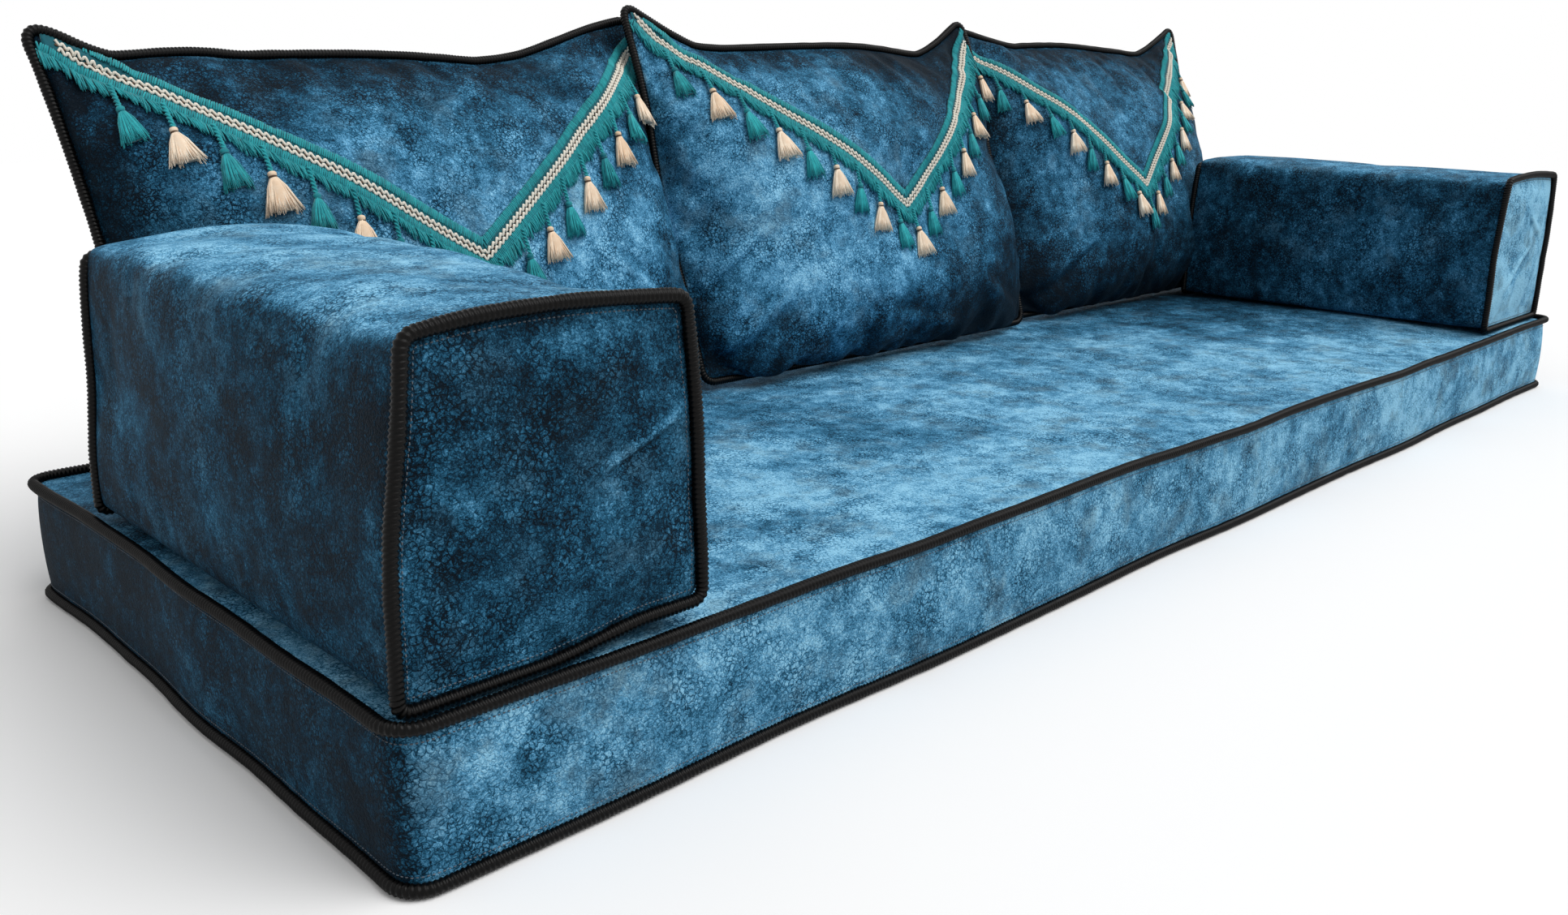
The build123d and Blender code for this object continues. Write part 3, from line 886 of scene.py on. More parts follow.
@dataclass
class Zip:
    """Closed zip on a flat place of a cover: woven tapes and a coil; its slider and pull are the part's own."""

    owner: str
    origin: tuple[float, float, float]
    x_dir: tuple[float, float, float]
    z_dir: tuple[float, float, float]
    length: float
    gap: float = 0.3 * MM
    tape_width: float = 26 * MM
    tape_thickness: float = 0.8 * MM
    tape_end: float = 12 * MM
    coil_half_width: float = 2.6 * MM
    coil_pitch: float = 1.9 * MM
    stop_half: tuple[float, float, float] = (2 * MM, 4 * MM, 1.3 * MM)

    def place(self, local: np.ndarray) -> np.ndarray:
        """Local rows moved to the part's frame."""
        x, z = Vector(self.x_dir).normalized(), Vector(self.z_dir).normalized()
        axes = np.array([x, z.cross(x), z])
        return np.asarray(local, float) @ axes + np.array(self.origin)

    def build(self) -> None:
        """Weave the tapes, set the coil's teeth and add the two end stops."""
        half_length = self.length / 2 + self.tape_end
        cells = (round(2 * half_length / (4 * MM)), 14, 1)
        lattice, quads = box_lattice(cells)
        x, y, z = lattice.T
        groove = np.exp(-((np.abs(y) - 0.0) / 0.05) ** 2)
        edge = ease(1.0, 0.9, np.abs(y))
        rise = self.gap + self.tape_thickness * np.where(z > 0, 0.55 + 0.45 * edge - 0.35 * groove, 0)
        local = np.stack([x * half_length, y * self.tape_width / 2, rise], 1)
        tape = mesh_object(f"{self.owner}_zip_tape", self.place(local), quads, TAPE_WEAVE)
        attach(tape, self.owner)
        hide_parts(f"{self.owner}_zip_chain")
        count = round(self.length / self.coil_pitch)
        run = np.linspace(-self.length / 2, self.length / 2, count)
        local = np.stack([run, np.where(np.arange(count) % 2, 1, -1) * self.coil_half_width * 0.42, np.full(count, 1.75 * MM)], 1)
        x, z = Vector(self.x_dir).normalized(), Vector(self.z_dir).normalized()
        along = np.tile(np.array(z.cross(x)), (count, 1))
        outward = np.tile(np.array(z), (count, 1))
        size = np.tile([0.85 * MM, self.coil_half_width * 0.62, 0.8 * MM], (count, 1))
        model = rod("tooth", 6, [(-1.0, 0.5, 0), (-0.8, 0.9, 0), (0.8, 0.9, 0), (1.0, 0.5, 0)])
        coil = Copies().build(f"{self.owner}_zip_coil", model, self.place(local), along, outward, size, TAPE_WEAVE)
        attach(coil, self.owner)
        for end, side in (("low", -1), ("high", 1)):
            lattice, quads = box_lattice((4, 6, 4))
            swell = lattice * (1 - 0.12 * (lattice[:, [1, 2, 0]] ** 2))
            centre = np.array([side * (self.length / 2 + self.stop_half[0]), 0, self.gap + self.tape_thickness + self.stop_half[2]])
            stop = mesh_object(
                f"{self.owner}_zip_{end}_stop", self.place(swell * np.array(self.stop_half) + centre), quads, METAL
            )
            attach(stop, self.owner)


@dataclass
class Mattress:
    """Boxed foam mattress with piping round its top and bottom edges."""

    length: float = 1995 * MM
    depth: float = 652 * MM
    height: float = 107 * MM
    corner: float = 18 * MM
    piping_offset: float = 2.5 * MM
    bottom_piping_level: float = 5.3 * MM
    band_bulge: float = 3.5 * MM
    top_sag: float = 2.0 * MM
    cell: float = 14 * MM

    def settle(self, rows: np.ndarray) -> np.ndarray:
        """Soft unevenness shared by the cover, piping and stitches.

        Args:
            rows: Places on the mattress.

        Returns:
            The moved places.
        """
        level = ease(0.0, self.height, rows[:, 2])
        edge = np.maximum(np.abs(rows[:, 0]) / (self.length / 2), np.abs(rows[:, 1]) / (self.depth / 2))
        back = ease(0.31, 0.2, rows[:, 1])
        moved = rows.copy()
        moved[:, 2] += level * (Wander(3, 0.34, 0.9 * MM).at(rows) + Wander(4, 0.16, 0.5 * MM).at(rows)) * ease(0.5, 1, edge)
        moved[:, 1] += back * Wander(5, 0.26, 1.3 * MM).at(rows * [1, 1, 0.4]) * np.sign(-rows[:, 1]).clip(0)
        moved[:, 0] += Wander(6, 0.2, 1.2 * MM).at(rows * [1, 1, 0.4]) * (np.abs(rows[:, 0]) > self.length / 2 - 0.05)
        return moved

    def wrinkles(self, rows: np.ndarray) -> np.ndarray:
        """Upright wrinkles in the band near its right-hand end and soft ones along it."""
        x, _, z = rows.T
        middle = np.clip(1 - ((z - self.height / 2) / (self.height / 2)) ** 2, 0, 1)
        near_end = ease(0.55, 0.98, x) + 0.25 * ease(-0.55, -0.98, x)
        ripple = np.sin(x * 2 * math.pi / 0.034 + 2 * np.sin(x * 21) + 9 * z)
        return middle * near_end * 1.1 * MM * ripple

    def cover(self) -> bpy.types.Object:
        """Sew the closed cover."""
        cells = tuple(max(6, round(size / self.cell)) for size in (self.length, self.depth, self.height))
        lattice, quads = box_lattice(cells)
        px, py, pz = lattice.T
        px, py = rounded(px, py, self.length / 2, self.depth / 2, self.corner)
        rim = np.maximum(np.abs(lattice[:, 0]), np.abs(lattice[:, 1]))
        side = rim > 0.999
        bulge = np.where(side, self.band_bulge * (1 - pz**2) ** 0.7, 0)
        back = py > 0.99
        bulge = np.where(back, bulge * 0.05, bulge)
        x = px * self.length / 2 + np.where(np.abs(px) > 0.99, np.sign(px) * bulge, 0)
        y = py * self.depth / 2 + np.where(np.abs(py) > 0.97, np.sign(py) * bulge, 0)
        z = (pz + 1) / 2 * self.height
        top = pz > 0.999
        swell = (1 - np.abs(lattice[:, 0]) ** 8) * (1 - np.abs(lattice[:, 1]) ** 8)
        rows = np.stack([x, y, z], 1)
        lumps = Wander(8, 0.3, 1.0 * MM).at(rows) + Wander(9, 0.11, 0.35 * MM).at(rows)
        rows[:, 2] += np.where(top & ~side, swell * (lumps - self.top_sag * 0.5), 0)
        front = side & (py < -0.97)
        rows[:, 1] -= np.where(front, self.wrinkles(rows), 0)
        piece = mesh_object("mattress_cover", self.settle(rows), quads, VELVET)
        crease(piece, side & (np.abs(pz) > 0.999))
        subdivide(piece, 1)
        x, y, _ = points_of(piece).T
        # Painted shadow on the seat's right-hand rear, in front of the right armrest and the cushions, weaker at the
        # far right-hand end and at the back edge, and a little painted shade towards the back.
        hidden = 1 - ease(0.98, 0.8, x) * ease(0.33, 0.2, y)
        painted_shadow = -0.4 * ease(0.25, 0.75, x) * ease(-0.22, 0.06, y) * (1 - 0.6 * hidden) - 0.06 * ease(-0.05, 0.1, y)
        # Painted light on the top and the front band, painted shade on the left end and towards the back.
        painted_light_and_tone = PaintedLightAndTone(0.0, up=0.26, left=-0.3, front=0.22, lean=(0.05, -0.3, 0), seed=31)
        dress_cover(piece, painted_light_and_tone, painted_shadow)
        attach(piece, "mattress")
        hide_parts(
            "mattress_foam_core", "mattress_top_panel", "mattress_side_band", "mattress_bottom_panel"
        )
        return piece

    def seam(self, level: float, grow: float, lift: float) -> Seam:
        """Rounded rectangle round the mattress.

        Args:
            level: Height over the floor.
            grow: How far outside the mattress's outline it runs.
            lift: How much the way out points up.

        Returns:
            The settled seam.
        """
        radius = self.corner + grow
        half_x, half_y = self.length / 2 + grow - radius, self.depth / 2 + grow - radius
        corners = ((half_x, half_y, 0), (-half_x, half_y, 90), (-half_x, -half_y, 180), (half_x, -half_y, 270))
        line, outward = [], []
        for x, y, start in corners:
            for angle in np.radians(np.linspace(start, start + 90, 10)):
                way = (math.cos(angle), math.sin(angle), lift)
                line.append((x + radius * way[0], y + radius * way[1], level))
                outward.append(way)
        dense = Seam(np.array(line), unit(np.array(outward))).resampled(1200)
        return Seam(self.settle(dense.line), dense.outward)

    def build(self) -> None:
        """Build and dress the whole mattress."""
        cover = self.cover()
        surface = surface_of(cover)
        for name, level, lift in (
            ("mattress_top_piping", self.height + self.piping_offset, 0.6),
            ("mattress_bottom_piping", self.bottom_piping_level, -0.2),
        ):
            piece = Piping().build(f"{name}_wound", self.seam(level, self.piping_offset, lift))
            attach(piece, "mattress")
            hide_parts(name)
        for name, level in (("low", self.bottom_piping_level + 8 * MM), ("high", self.height - 7.5 * MM)):
            row = StitchRow().build(f"mattress_{name}_stitches", self.seam(level, 2 * MM, 0), surface)
            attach(row, "mattress")
        Zip("mattress", (0, self.depth / 2, 53 * MM), (1, 0, 0), (0, 1, 0), 1400 * MM).build()
        log.info("mattress: cover, two pipings, stitches and zip")


@dataclass
class Armrest:
    """Block armrest with soft long edges and piped end panels."""

    name: str
    centre_x: float
    setback: float
    seed: int
    painted_light_and_tone: PaintedLightAndTone
    folds: list[Fold] = field(default_factory=list)
    length: float = 484 * MM
    height: float = 210 * MM
    base_width: float = 220 * MM
    top_width: float = 194 * MM
    side_bulge: float = 3 * MM
    top_bulge: float = 5 * MM
    edge_round: float = 6 * MM
    base_level: float = 114.8 * MM
    belly_sag: float = 6.2 * MM
    hem_lift: float = 0.0
    top_lift: tuple[float, float] = (0.0, 0.0)
    top_ripple: float = 1.0
    panel_swell: float = 4 * MM
    piping_offset: float = 2.5 * MM
    mattress_depth: float = 652 * MM
    zip_share: float = 0.24
    zip_length: float = 360 * MM
    cell: float = 11 * MM

    @property
    def front_y(self) -> float:
        """Place of the front panel."""
        return self.setback - self.mattress_depth / 2

    def section(self, px: np.ndarray, pz: np.ndarray, grow: float) -> tuple[np.ndarray, np.ndarray]:
        """Places in the armrest's section.

        Args:
            px: Shares from -1 to 1 across.
            pz: Shares from -1 to 1 up.
            grow: How far outside the section's outline a share of 1 lies.

        Returns:
            Places across from the middle and up from the base.
        """
        radius = self.edge_round + grow
        px, pz = rounded(px, pz, self.base_width / 2 + grow, self.height / 2 + grow, radius)
        share = (pz + 1) / 2
        half = self.base_width / 2 + (self.top_width - self.base_width) / 2 * share + self.side_bulge * (1 - pz**2)
        x = px * (half + grow)
        z = share * self.height + pz * grow + self.top_bulge * (1 - px**2) * share**2
        return x, z

    def settle(self, rows: np.ndarray) -> np.ndarray:
        """Soft unevenness shared by the cover, pipings and stitches.

        Args:
            rows: Places on the armrest.

        Returns:
            The moved places.
        """
        up = ease(0.02, 0.12, rows[:, 2] - self.base_level)
        zip_side = ease(0.09, 0.1, rows[:, 0] - self.centre_x) * ease(0.09, 0.07, rows[:, 2] - self.base_level)
        free = up * (1 - zip_side)
        hem = ease(0.09, 0.02, rows[:, 2] - self.base_level) * ease(0.03, 0.0, rows[:, 1] - self.front_y)
        moved = rows.copy()
        moved[:, 0] += free * (Wander(self.seed, 0.24, 1.4 * MM).at(rows) + Wander(self.seed + 1, 0.1, 0.5 * MM).at(rows))
        moved[:, 1] += up * Wander(self.seed + 2, 0.17, 1.5 * MM).at(rows)
        back = ease(0.0, 1.0, (rows[:, 1] - self.front_y) / self.length)
        high = ease(0.4, 1.0, (rows[:, 2] - self.base_level) / self.height)
        moved[:, 2] += high * (self.top_lift[0] + (self.top_lift[1] - self.top_lift[0]) * back)
        moved[:, 2] += self.hem_lift * ease(-0.02, 0.07, rows[:, 0] - self.centre_x) * hem
        ripple = Wander(self.seed + 3, 0.22, 1.7 * MM).at(rows) + Wander(self.seed + 4, 0.09, 0.9 * MM).at(rows)
        moved[:, 2] += up * self.top_ripple * ripple
        return moved

    def cover(self) -> bpy.types.Object:
        """Sew the closed cover with its seam vertices marked."""
        cells = tuple(round(size / self.cell) for size in (self.base_width, self.length, self.height))
        lattice, quads = box_lattice(cells)
        px, py, pz = lattice.T
        x, z = self.section(px, pz, 0)
        rim = np.maximum(np.abs(px), np.abs(pz))
        panel = (1 - np.abs(px) ** 3) * (1 - np.abs(pz) ** 3)
        y = self.front_y + (py + 1) / 2 * self.length + np.where(rim < 0.999, np.sign(py) * self.panel_swell * panel, 0)
        z = z - np.where(pz < -0.999, self.belly_sag * (1 - np.abs(py) ** 14) * (1 - px**4), 0)
        rows = np.stack([self.centre_x + x, y, self.base_level + z], 1)
        piece = mesh_object(f"{self.name}_cover", self.settle(rows), quads, VELVET)
        crease(piece, (np.abs(py) > 0.999) & (rim > 0.999))
        seam = piece.vertex_groups.new(name="seam")
        held = (np.abs(py) > 0.999) & (rim > 0.999) | (pz < -0.85)
        zip_side = (px > 0.999) & (pz < 0.0)
        seam.add(np.nonzero(held | zip_side)[0].tolist(), 1.0, "REPLACE")
        return piece

    def crumple(self, cover: bpy.types.Object) -> np.ndarray:
        """Press the folds and fine wrinkles into the front panel.

        Args:
            cover: The smoothed cover.

        Returns:
            Painted highlight that the raised lips and the panel's top edge add at each vertex, and slight painted shade
            in the folds' hollows.
        """
        rows = points_of(cover)
        x, z = rows[:, 0] - self.centre_x, rows[:, 2] - self.base_level
        depth = rows[:, 1] - self.front_y
        share = np.clip(z / self.height, 0, 1)
        half = self.base_width / 2 + (self.top_width - self.base_width) / 2 * share
        edge = np.minimum(half - np.abs(x), np.minimum(z, self.height - z))
        face = ease(6 * MM, 1 * MM, depth) * ease(2 * MM, 16 * MM, edge)
        lift = sum((fold.height(x, z) for fold in self.folds), np.zeros(len(rows)))
        # Painted highlight on the folds' raised lips, slight painted shade in their hollows, and a painted highlight
        # along the front panel's top edge.
        painted_shading = face * (np.clip(lift, -0.5 * MM, 2 * MM) / (7 * MM) + 0.2 * ease(0.86, 0.97, share))
        lift += Wander(self.seed + 7, 0.05, 0.5 * MM).at(rows) + Wander(self.seed + 8, 0.1, 0.9 * MM).at(rows)
        rows[:, 1] -= lift * face
        set_points(cover, rows)
        return painted_shading

    def seam(self, end: int, depth: float, grow: float, lift: float, sink: float = 0.0) -> Seam:
        """Loop round one end panel.

        Args:
            end: -1 for the front panel, 1 for the rear one.
            depth: How far outside the panel it lies.
            grow: How far outside the section's outline it runs.
            lift: How much the way out points off the panel.
            sink: How far its top side lies under that.

        Returns:
            The settled seam.
        """
        edge = np.linspace(-1, 1, 80, endpoint=False)
        ones = np.ones_like(edge)
        px = np.concatenate([edge, ones, -edge, -ones])
        pz = np.concatenate([-ones, edge, ones, -edge])
        x, z = self.section(px, pz, grow)
        z = z - sink * ease(0.86, 1.0, z / self.height)
        y = self.front_y + (end + 1) / 2 * self.length + end * depth
        line = np.stack([self.centre_x + x, np.full_like(x, y), self.base_level + z], 1)
        outward = np.stack([x, np.full_like(x, end * lift * 0.1), z - self.height / 2], 1)
        dense = Seam(line, unit(outward)).resampled(500)
        return Seam(self.settle(dense.line), dense.outward)

    def finish(self, cover: bpy.types.Object) -> None:
        """Smooth and dress the stuffed cover and add its pipings, stitches and zip.

        Args:
            cover: The cover after stuffing.
        """
        subdivide(cover, 2)
        dress_cover(cover, self.painted_light_and_tone, self.crumple(cover))
        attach(cover, self.name)
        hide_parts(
            f"{self.name}_foam_core",
            f"{self.name}_sleeve",
            f"{self.name}_front_panel",
            f"{self.name}_rear_panel",
        )
        surface = surface_of(cover)
        for label, end, sink in (("front", -1, 0.0), ("rear", 1, 8 * MM)):
            course = self.seam(end, self.piping_offset, self.piping_offset - sink / 4, 1, sink)
            piece = Piping().build(f"{self.name}_{label}_piping_wound", course)
            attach(piece, self.name)
            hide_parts(f"{self.name}_{label}_piping")
            row = StitchRow().build(f"{self.name}_{label}_stitches", self.seam(end, 2 * MM, -5 * MM, 1), surface)
            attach(row, self.name)
        slope, point = self.zip_side()
        Zip(
            self.name,
            (self.centre_x + point[0], self.front_y + self.length / 2, self.base_level + point[1]),
            (0, 1, 0),
            (slope[1], 0, -slope[0]),
            self.zip_length,
        ).build()
        log.info("%s: cover, two pipings, stitches and zip", self.name)

    def zip_side(self) -> tuple[np.ndarray, np.ndarray]:
        """Direction up the armrest's side and place on it where the zip lies."""
        low = np.array([self.base_width / 2, 0])
        middle = np.array([(self.base_width + self.top_width) / 4 + self.side_bulge, self.height / 2])
        high = np.array([self.top_width / 2, self.height])
        rows = np.array([2 * (middle - low), 2 * (high - low)])
        centre = np.linalg.solve(rows, [middle @ middle - low @ low, high @ high - low @ low])
        first = math.atan2(*(low - centre)[::-1])
        last = math.atan2(*(high - centre)[::-1])
        angle = first + (last - first) * self.zip_share
        way = np.array([math.cos(angle), math.sin(angle)])
        return np.array([-way[1], way[0]]), centre + way * np.linalg.norm(low - centre)


@dataclass(frozen=True)
class Vee:
    """Course of the braid over a cushion's front, in the cushion's own places."""

    apex_u: float
    apex_v: float
    left_slope: float
    right_slope: float
    left_bend: float = 0.0
    right_bend: float = 0.0
    reach: float = 0.3

    def level(self, u: np.ndarray) -> np.ndarray:
        """Height of the braid's centre line at places across."""
        off = np.asarray(u, float) - self.apex_u
        slope = np.where(off < 0, self.left_slope, self.right_slope)
        bend = np.where(off < 0, self.left_bend, self.right_bend)
        return self.apex_v + np.abs(off) * slope + bend * (np.abs(off) / self.reach) ** 4

    def stretch(self, u: np.ndarray) -> np.ndarray:
        """Length along the braid per length across."""
        rise = (self.level(np.asarray(u) + MM) - self.level(np.asarray(u) - MM)) / (2 * MM)
        return np.sqrt(1 + rise**2)

    def below(self, u: np.ndarray, drop: float) -> np.ndarray:
        """Height at places across, some way below the centre line."""
        return self.level(u) - drop * self.stretch(u)


@dataclass
class BackCushion:
    """Fibre-filled back cushion with pointed ears, piping, a braid V, brush fringe and tassels."""

    name: str
    centre_x: float
    foot_y: float
    seed: int
    vee: Vee
    ear_moves: tuple[tuple[float, float], tuple[float, float]]
    painted_light_and_tone: PaintedLightAndTone = PaintedLightAndTone()
    # Painted light on the full crown with painted shade on its sides, and painted shade at the foot.
    crown_painted_shading: float = 0.5
    foot_painted_shade: float = 0.28
    foot_hang: float = 15 * MM
    least_fill: float = 2.5 * MM
    top_move: float = 0.0
    folds: list[Fold] = field(default_factory=list)
    foot_level: float = 117.34 * MM
    lean: float = math.radians(18)
    width: float = 626 * MM
    height: float = 432 * MM
    front_crown: float = 90 * MM
    rear_crown: float = 55 * MM
    end_crown: float = 6 * MM
    edge_rise: float = 4 * MM
    seam_margin: float = 4 * MM
    rear_fullness: float = 4
    ear_run: float = 112 * MM
    ear_runs: tuple[float, float] = (112 * MM, 112 * MM)
    ear_rise: float = 36 * MM
    ear_rounds: tuple[float, float] = (12 * MM, 12 * MM)
    foot_round: float = 12 * MM
    side_draws: tuple[float, float] = (4 * MM, 4 * MM)
    droop: float = 0.5
    top_bow: float = 5 * MM
    piping_offset: float = 3.4 * MM
    braid_width: float = 27 * MM
    braid_thickness: float = 2.2 * MM
    chain_drop: float = 1.2 * MM
    chain_half: float = 2.5 * MM
    chain_swing: float = 1.5 * MM
    chain_pitch: float = 6.4 * MM
    tuft_pitch: float = 3.3 * MM
    tassel_step: float = 33 * MM
    tassels: int = 18
    hanger_length: float = 22 * MM
    skirt_length: float = 33 * MM
    zip_level: float = 46 * MM
    zip_length: float = 330 * MM
    columns: int = 80
    rows: int = 56

    def place(self, u: np.ndarray, v: np.ndarray, w: np.ndarray) -> np.ndarray:
        """Rows in the part's frame of places across, up the lean and out of the front."""
        u, v, w = np.broadcast_arrays(u, v, w)
        sine, cosine = math.sin(self.lean), math.cos(self.lean)
        return np.stack(
            [self.centre_x + u, self.foot_y + v * sine - w * cosine, self.foot_level + v * cosine + w * sine], -1
        )

    def local(self, rows: np.ndarray) -> np.ndarray:
        """Rows of places across, up and out from rows in the part's frame."""
        sine, cosine = math.sin(self.lean), math.cos(self.lean)
        off = rows - np.array([self.centre_x, self.foot_y, self.foot_level])
        return np.stack(
            [off[:, 0], off[:, 1] * sine + off[:, 2] * cosine, off[:, 2] * sine - off[:, 1] * cosine], 1
        )

    def top(self, u: np.ndarray, runs: tuple[float, float] | None = None) -> np.ndarray:
        """Height of the top seam: level with a soft bow, rising into the ears."""
        left, right = runs or self.ear_runs
        run = np.where(np.asarray(u) < 0, left, right)
        shoulder = self.width / 2 - run
        over = np.clip((np.abs(u) - shoulder) / run, 0, 1)
        rise = self.ear_rise * over ** 1.35
        return self.height - self.ear_rise + self.top_bow * np.clip(1 - (u / shoulder) ** 2, 0, 1) + rise

    def outline(self, s: np.ndarray, t: np.ndarray) -> tuple[np.ndarray, np.ndarray]:
        """Places in the outline.

        Args:
            s: Shares from -1 to 1 across.
            t: Shares from -1 to 1 up.

        Returns:
            Places across and up.
        """
        radius = np.where(t < 0, self.foot_round, np.where(s < 0, *self.ear_rounds))
        s, t = rounded(s, t, self.width / 2, self.height / 2, radius)
        share = (t + 1) / 2
        half = self.width / 2 - np.where(s < 0, *self.side_draws) * (1 - t**2)
        u = s * half
        v = share * self.top(u)
        corner = ease(0.55, 1, np.abs(s)) * share**2
        v = v + self.top_move * share**2 * ease(1.0, 0.45, np.abs(s))
        for side, (across, up) in zip((-1, 1), self.ear_moves):
            hold = corner * (np.sign(s) == side)
            u, v = u + hold * across, v + hold * up
        sag = Wander(self.seed + 9, 0.3, 2.0 * MM).at(np.stack([u, v, 0 * u], -1).reshape(-1, 3)).reshape(u.shape)
        return u, v + sag * share * ease(1.0, 0.75, np.abs(s))

    def rim(self) -> tuple[np.ndarray, np.ndarray]:
        """Closed line of the outline, across and up."""
        edge = np.linspace(-1, 1, 120, endpoint=False)
        ones = np.ones_like(edge)
        return self.outline(np.concatenate([edge, ones, -edge, -ones]), np.concatenate([-ones, edge, ones, -edge]))

    def seam_wave(self, u: np.ndarray, v: np.ndarray) -> np.ndarray:
        """How far the seam strays out of its plane."""
        rows = np.stack([u, v, 0 * u], -1)
        free = ease(0.03, 0.12, v)
        return (Wander(self.seed, 0.22, 2.6 * MM).at(rows.reshape(-1, 3))).reshape(u.shape) * free

    def rear_height(self, u: np.ndarray, v: np.ndarray) -> np.ndarray:
        """Height of the part's own rear face, which the zip lies on."""
        share = np.minimum(1, np.abs(u) / (self.width / 2 + self.seam_margin))
        crown = self.end_crown + (self.rear_crown - self.end_crown) * (1 - share**self.rear_fullness)
        low, high = -self.seam_margin, self.top(u, (self.ear_run, self.ear_run)) + self.seam_margin
        middle, half = (low + high) / 2, (high - low) / 2
        arch = crown - self.edge_rise
        radius = (half**2 + arch**2) / (2 * arch)
        return self.edge_rise + arch - radius + np.sqrt(np.maximum(radius**2 - (v - middle) ** 2, 0))

    def cover(self) -> bpy.types.Object:
        """Sew the front and rear faces together at the outline."""
        s, t = np.meshgrid(np.linspace(-1, 1, self.columns + 1), np.linspace(-1, 1, self.rows + 1), indexing="ij")
        u, v = self.outline(s, t)
        wave = self.seam_wave(u, v)
        across = 1 - np.abs(s) ** 2.6
        lift = 1 - np.abs(t + 0.12 * (1 - t**2)) ** 2.3
        belly = across**0.55 * lift**0.5
        start = 0.86
        inner = (np.abs(s) < 0.999) & (np.abs(t) < 0.999)
        number = np.arange(s.size).reshape(s.shape)
        behind = number.copy()
        behind[inner] = s.size + np.arange(inner.sum())
        front = self.front_crown * start * belly
        drooped = v - self.droop * front * ease(0.5, -0.6, t)
        spread = u + 0.1 * front * np.sign(s) * ease(0.6, 0.95, np.abs(s))
        rear = wave - self.rear_crown * start * belly
        rows = np.vstack(
            [self.place(spread, drooped, wave + front).reshape(-1, 3), self.place(u[inner], v[inner], rear[inner])]
        )
        quads = []
        for sheet, order in ((number, 1), (behind, -1)):
            quad = np.stack([sheet[:-1, :-1], sheet[1:, :-1], sheet[1:, 1:], sheet[:-1, 1:]], -1).reshape(-1, 4)
            quads.append(quad[:, ::order])
        side = np.concatenate([np.where(inner, 1.0, 0.0).ravel(), np.full(inner.sum(), -1.0)])
        piece = mesh_object(f"{self.name}_cover", rows, np.concatenate(quads), VELVET, side=side)
        seam = piece.vertex_groups.new(name="seam")
        seam.add(number[~inner].tolist(), 1.0, "REPLACE")
        crease(piece, np.isin(np.arange(len(rows)), number[~inner]))
        return piece

    def seam_gap(self, u: np.ndarray, v: np.ndarray) -> np.ndarray:
        """Distance of places from the seam, across and up alone."""
        edge_u, edge_v = self.rim()
        return np.hypot(u[:, None] - edge_u, v[:, None] - edge_v).min(1)

    def shape(self, cover: bpy.types.Object) -> np.ndarray:
        """Bring the stuffed cover to its own crowns, folds and flat place for the zip.

        Args:
            cover: The cover after stuffing.

        Returns:
            Painted light and shade that the crown, the foot and the folds add at each vertex: lighter on the full crown
            and the raised lips, darker on the crown's sides, at the foot and in the hollows.
        """
        u, v, w = self.local(points_of(cover)).T
        side = np.zeros(len(u), np.float32)
        cover.data.attributes["side"].data.foreach_get("value", side)
        sheet = w - self.seam_wave(u, v)
        front_gain = self.front_crown / max(np.percentile(sheet, 99.8), 1e-4)
        rear_gain = self.rear_crown / max(-np.percentile(sheet, 0.2), 1e-4)
        sheet = np.where(sheet > 0, sheet * front_gain, sheet * rear_gain)
        gap = self.seam_gap(u, v)
        creased = sum((fold.height(u, v) for fold in self.folds), np.zeros(len(u))) * ease(2 * MM, 14 * MM, gap)
        front = side > 0.02
        full = np.clip(sheet / self.front_crown, 0, 1)
        # Painted light on the full crown, painted shade on its sides and at the foot, and painted highlights on the
        # folds' raised lips with shade in their hollows.
        shade = self.crown_painted_shading * (full - 0.72) - self.foot_painted_shade * ease(0.15, 0.01, v)
        painted_shading = np.where(front, shade + np.clip(creased, -2 * MM, 3 * MM) / (28 * MM), 0)
        sheet = sheet + np.where(front, creased, 0)
        rows = np.stack([u, v, 0 * u], 1)
        lumps = Wander(self.seed + 5, 0.17, 2.2 * MM).at(rows) + Wander(self.seed + 6, 0.08, 0.8 * MM).at(rows)
        gathers = Wander(self.seed + 7, 0.03, 1.5 * MM).at(rows * [1, 0.25, 0]) * ease(0.0, 10 * MM, gap)
        gathers = gathers * ease(60 * MM, 10 * MM, gap)
        sheet = sheet + np.where(sheet > 0, lumps * ease(8 * MM, 40 * MM, np.abs(sheet)) + gathers, 0)
        near = ease(0.06, 0.028, np.abs(v - self.zip_level)) * ease(0.235, 0.19, np.abs(u))
        flat = -self.rear_height(u, v) - self.seam_wave(u, v)
        sheet = np.where(sheet < 0, sheet + (flat - sheet) * near, sheet)
        sheet = np.where(near > 0, sheet, np.maximum(sheet, -self.rear_crown - 3 * MM))
        least = self.least_fill * ease(0.0, 12 * MM, gap)
        sheet = np.where(side > 0.02, np.maximum(sheet, least), np.where(side < -0.02, np.minimum(sheet, -least), sheet))
        hang = self.foot_hang * ease(0.13, 0.0, v) * ease(4 * MM, 28 * MM, sheet)
        set_points(cover, self.place(u, v - hang, sheet + self.seam_wave(u, v)))
        return painted_shading

    def seam(self) -> Seam:
        """Centre line of the piping round the cushion."""
        u, v = self.rim()
        ahead = np.stack([np.roll(u, -1) - np.roll(u, 1), np.roll(v, -1) - np.roll(v, 1)], 1)
        ahead = unit(ahead)
        out_u, out_v = ahead[:, 1], -ahead[:, 0]
        wave = self.seam_wave(u, v)
        rows = self.place(u + out_u * self.piping_offset, v + out_v * self.piping_offset, wave)
        outward = self.place(out_u, out_v, 0 * out_u) - self.place(np.zeros(1), np.zeros(1), np.zeros(1))
        return Seam(rows, unit(outward)).resampled(900)

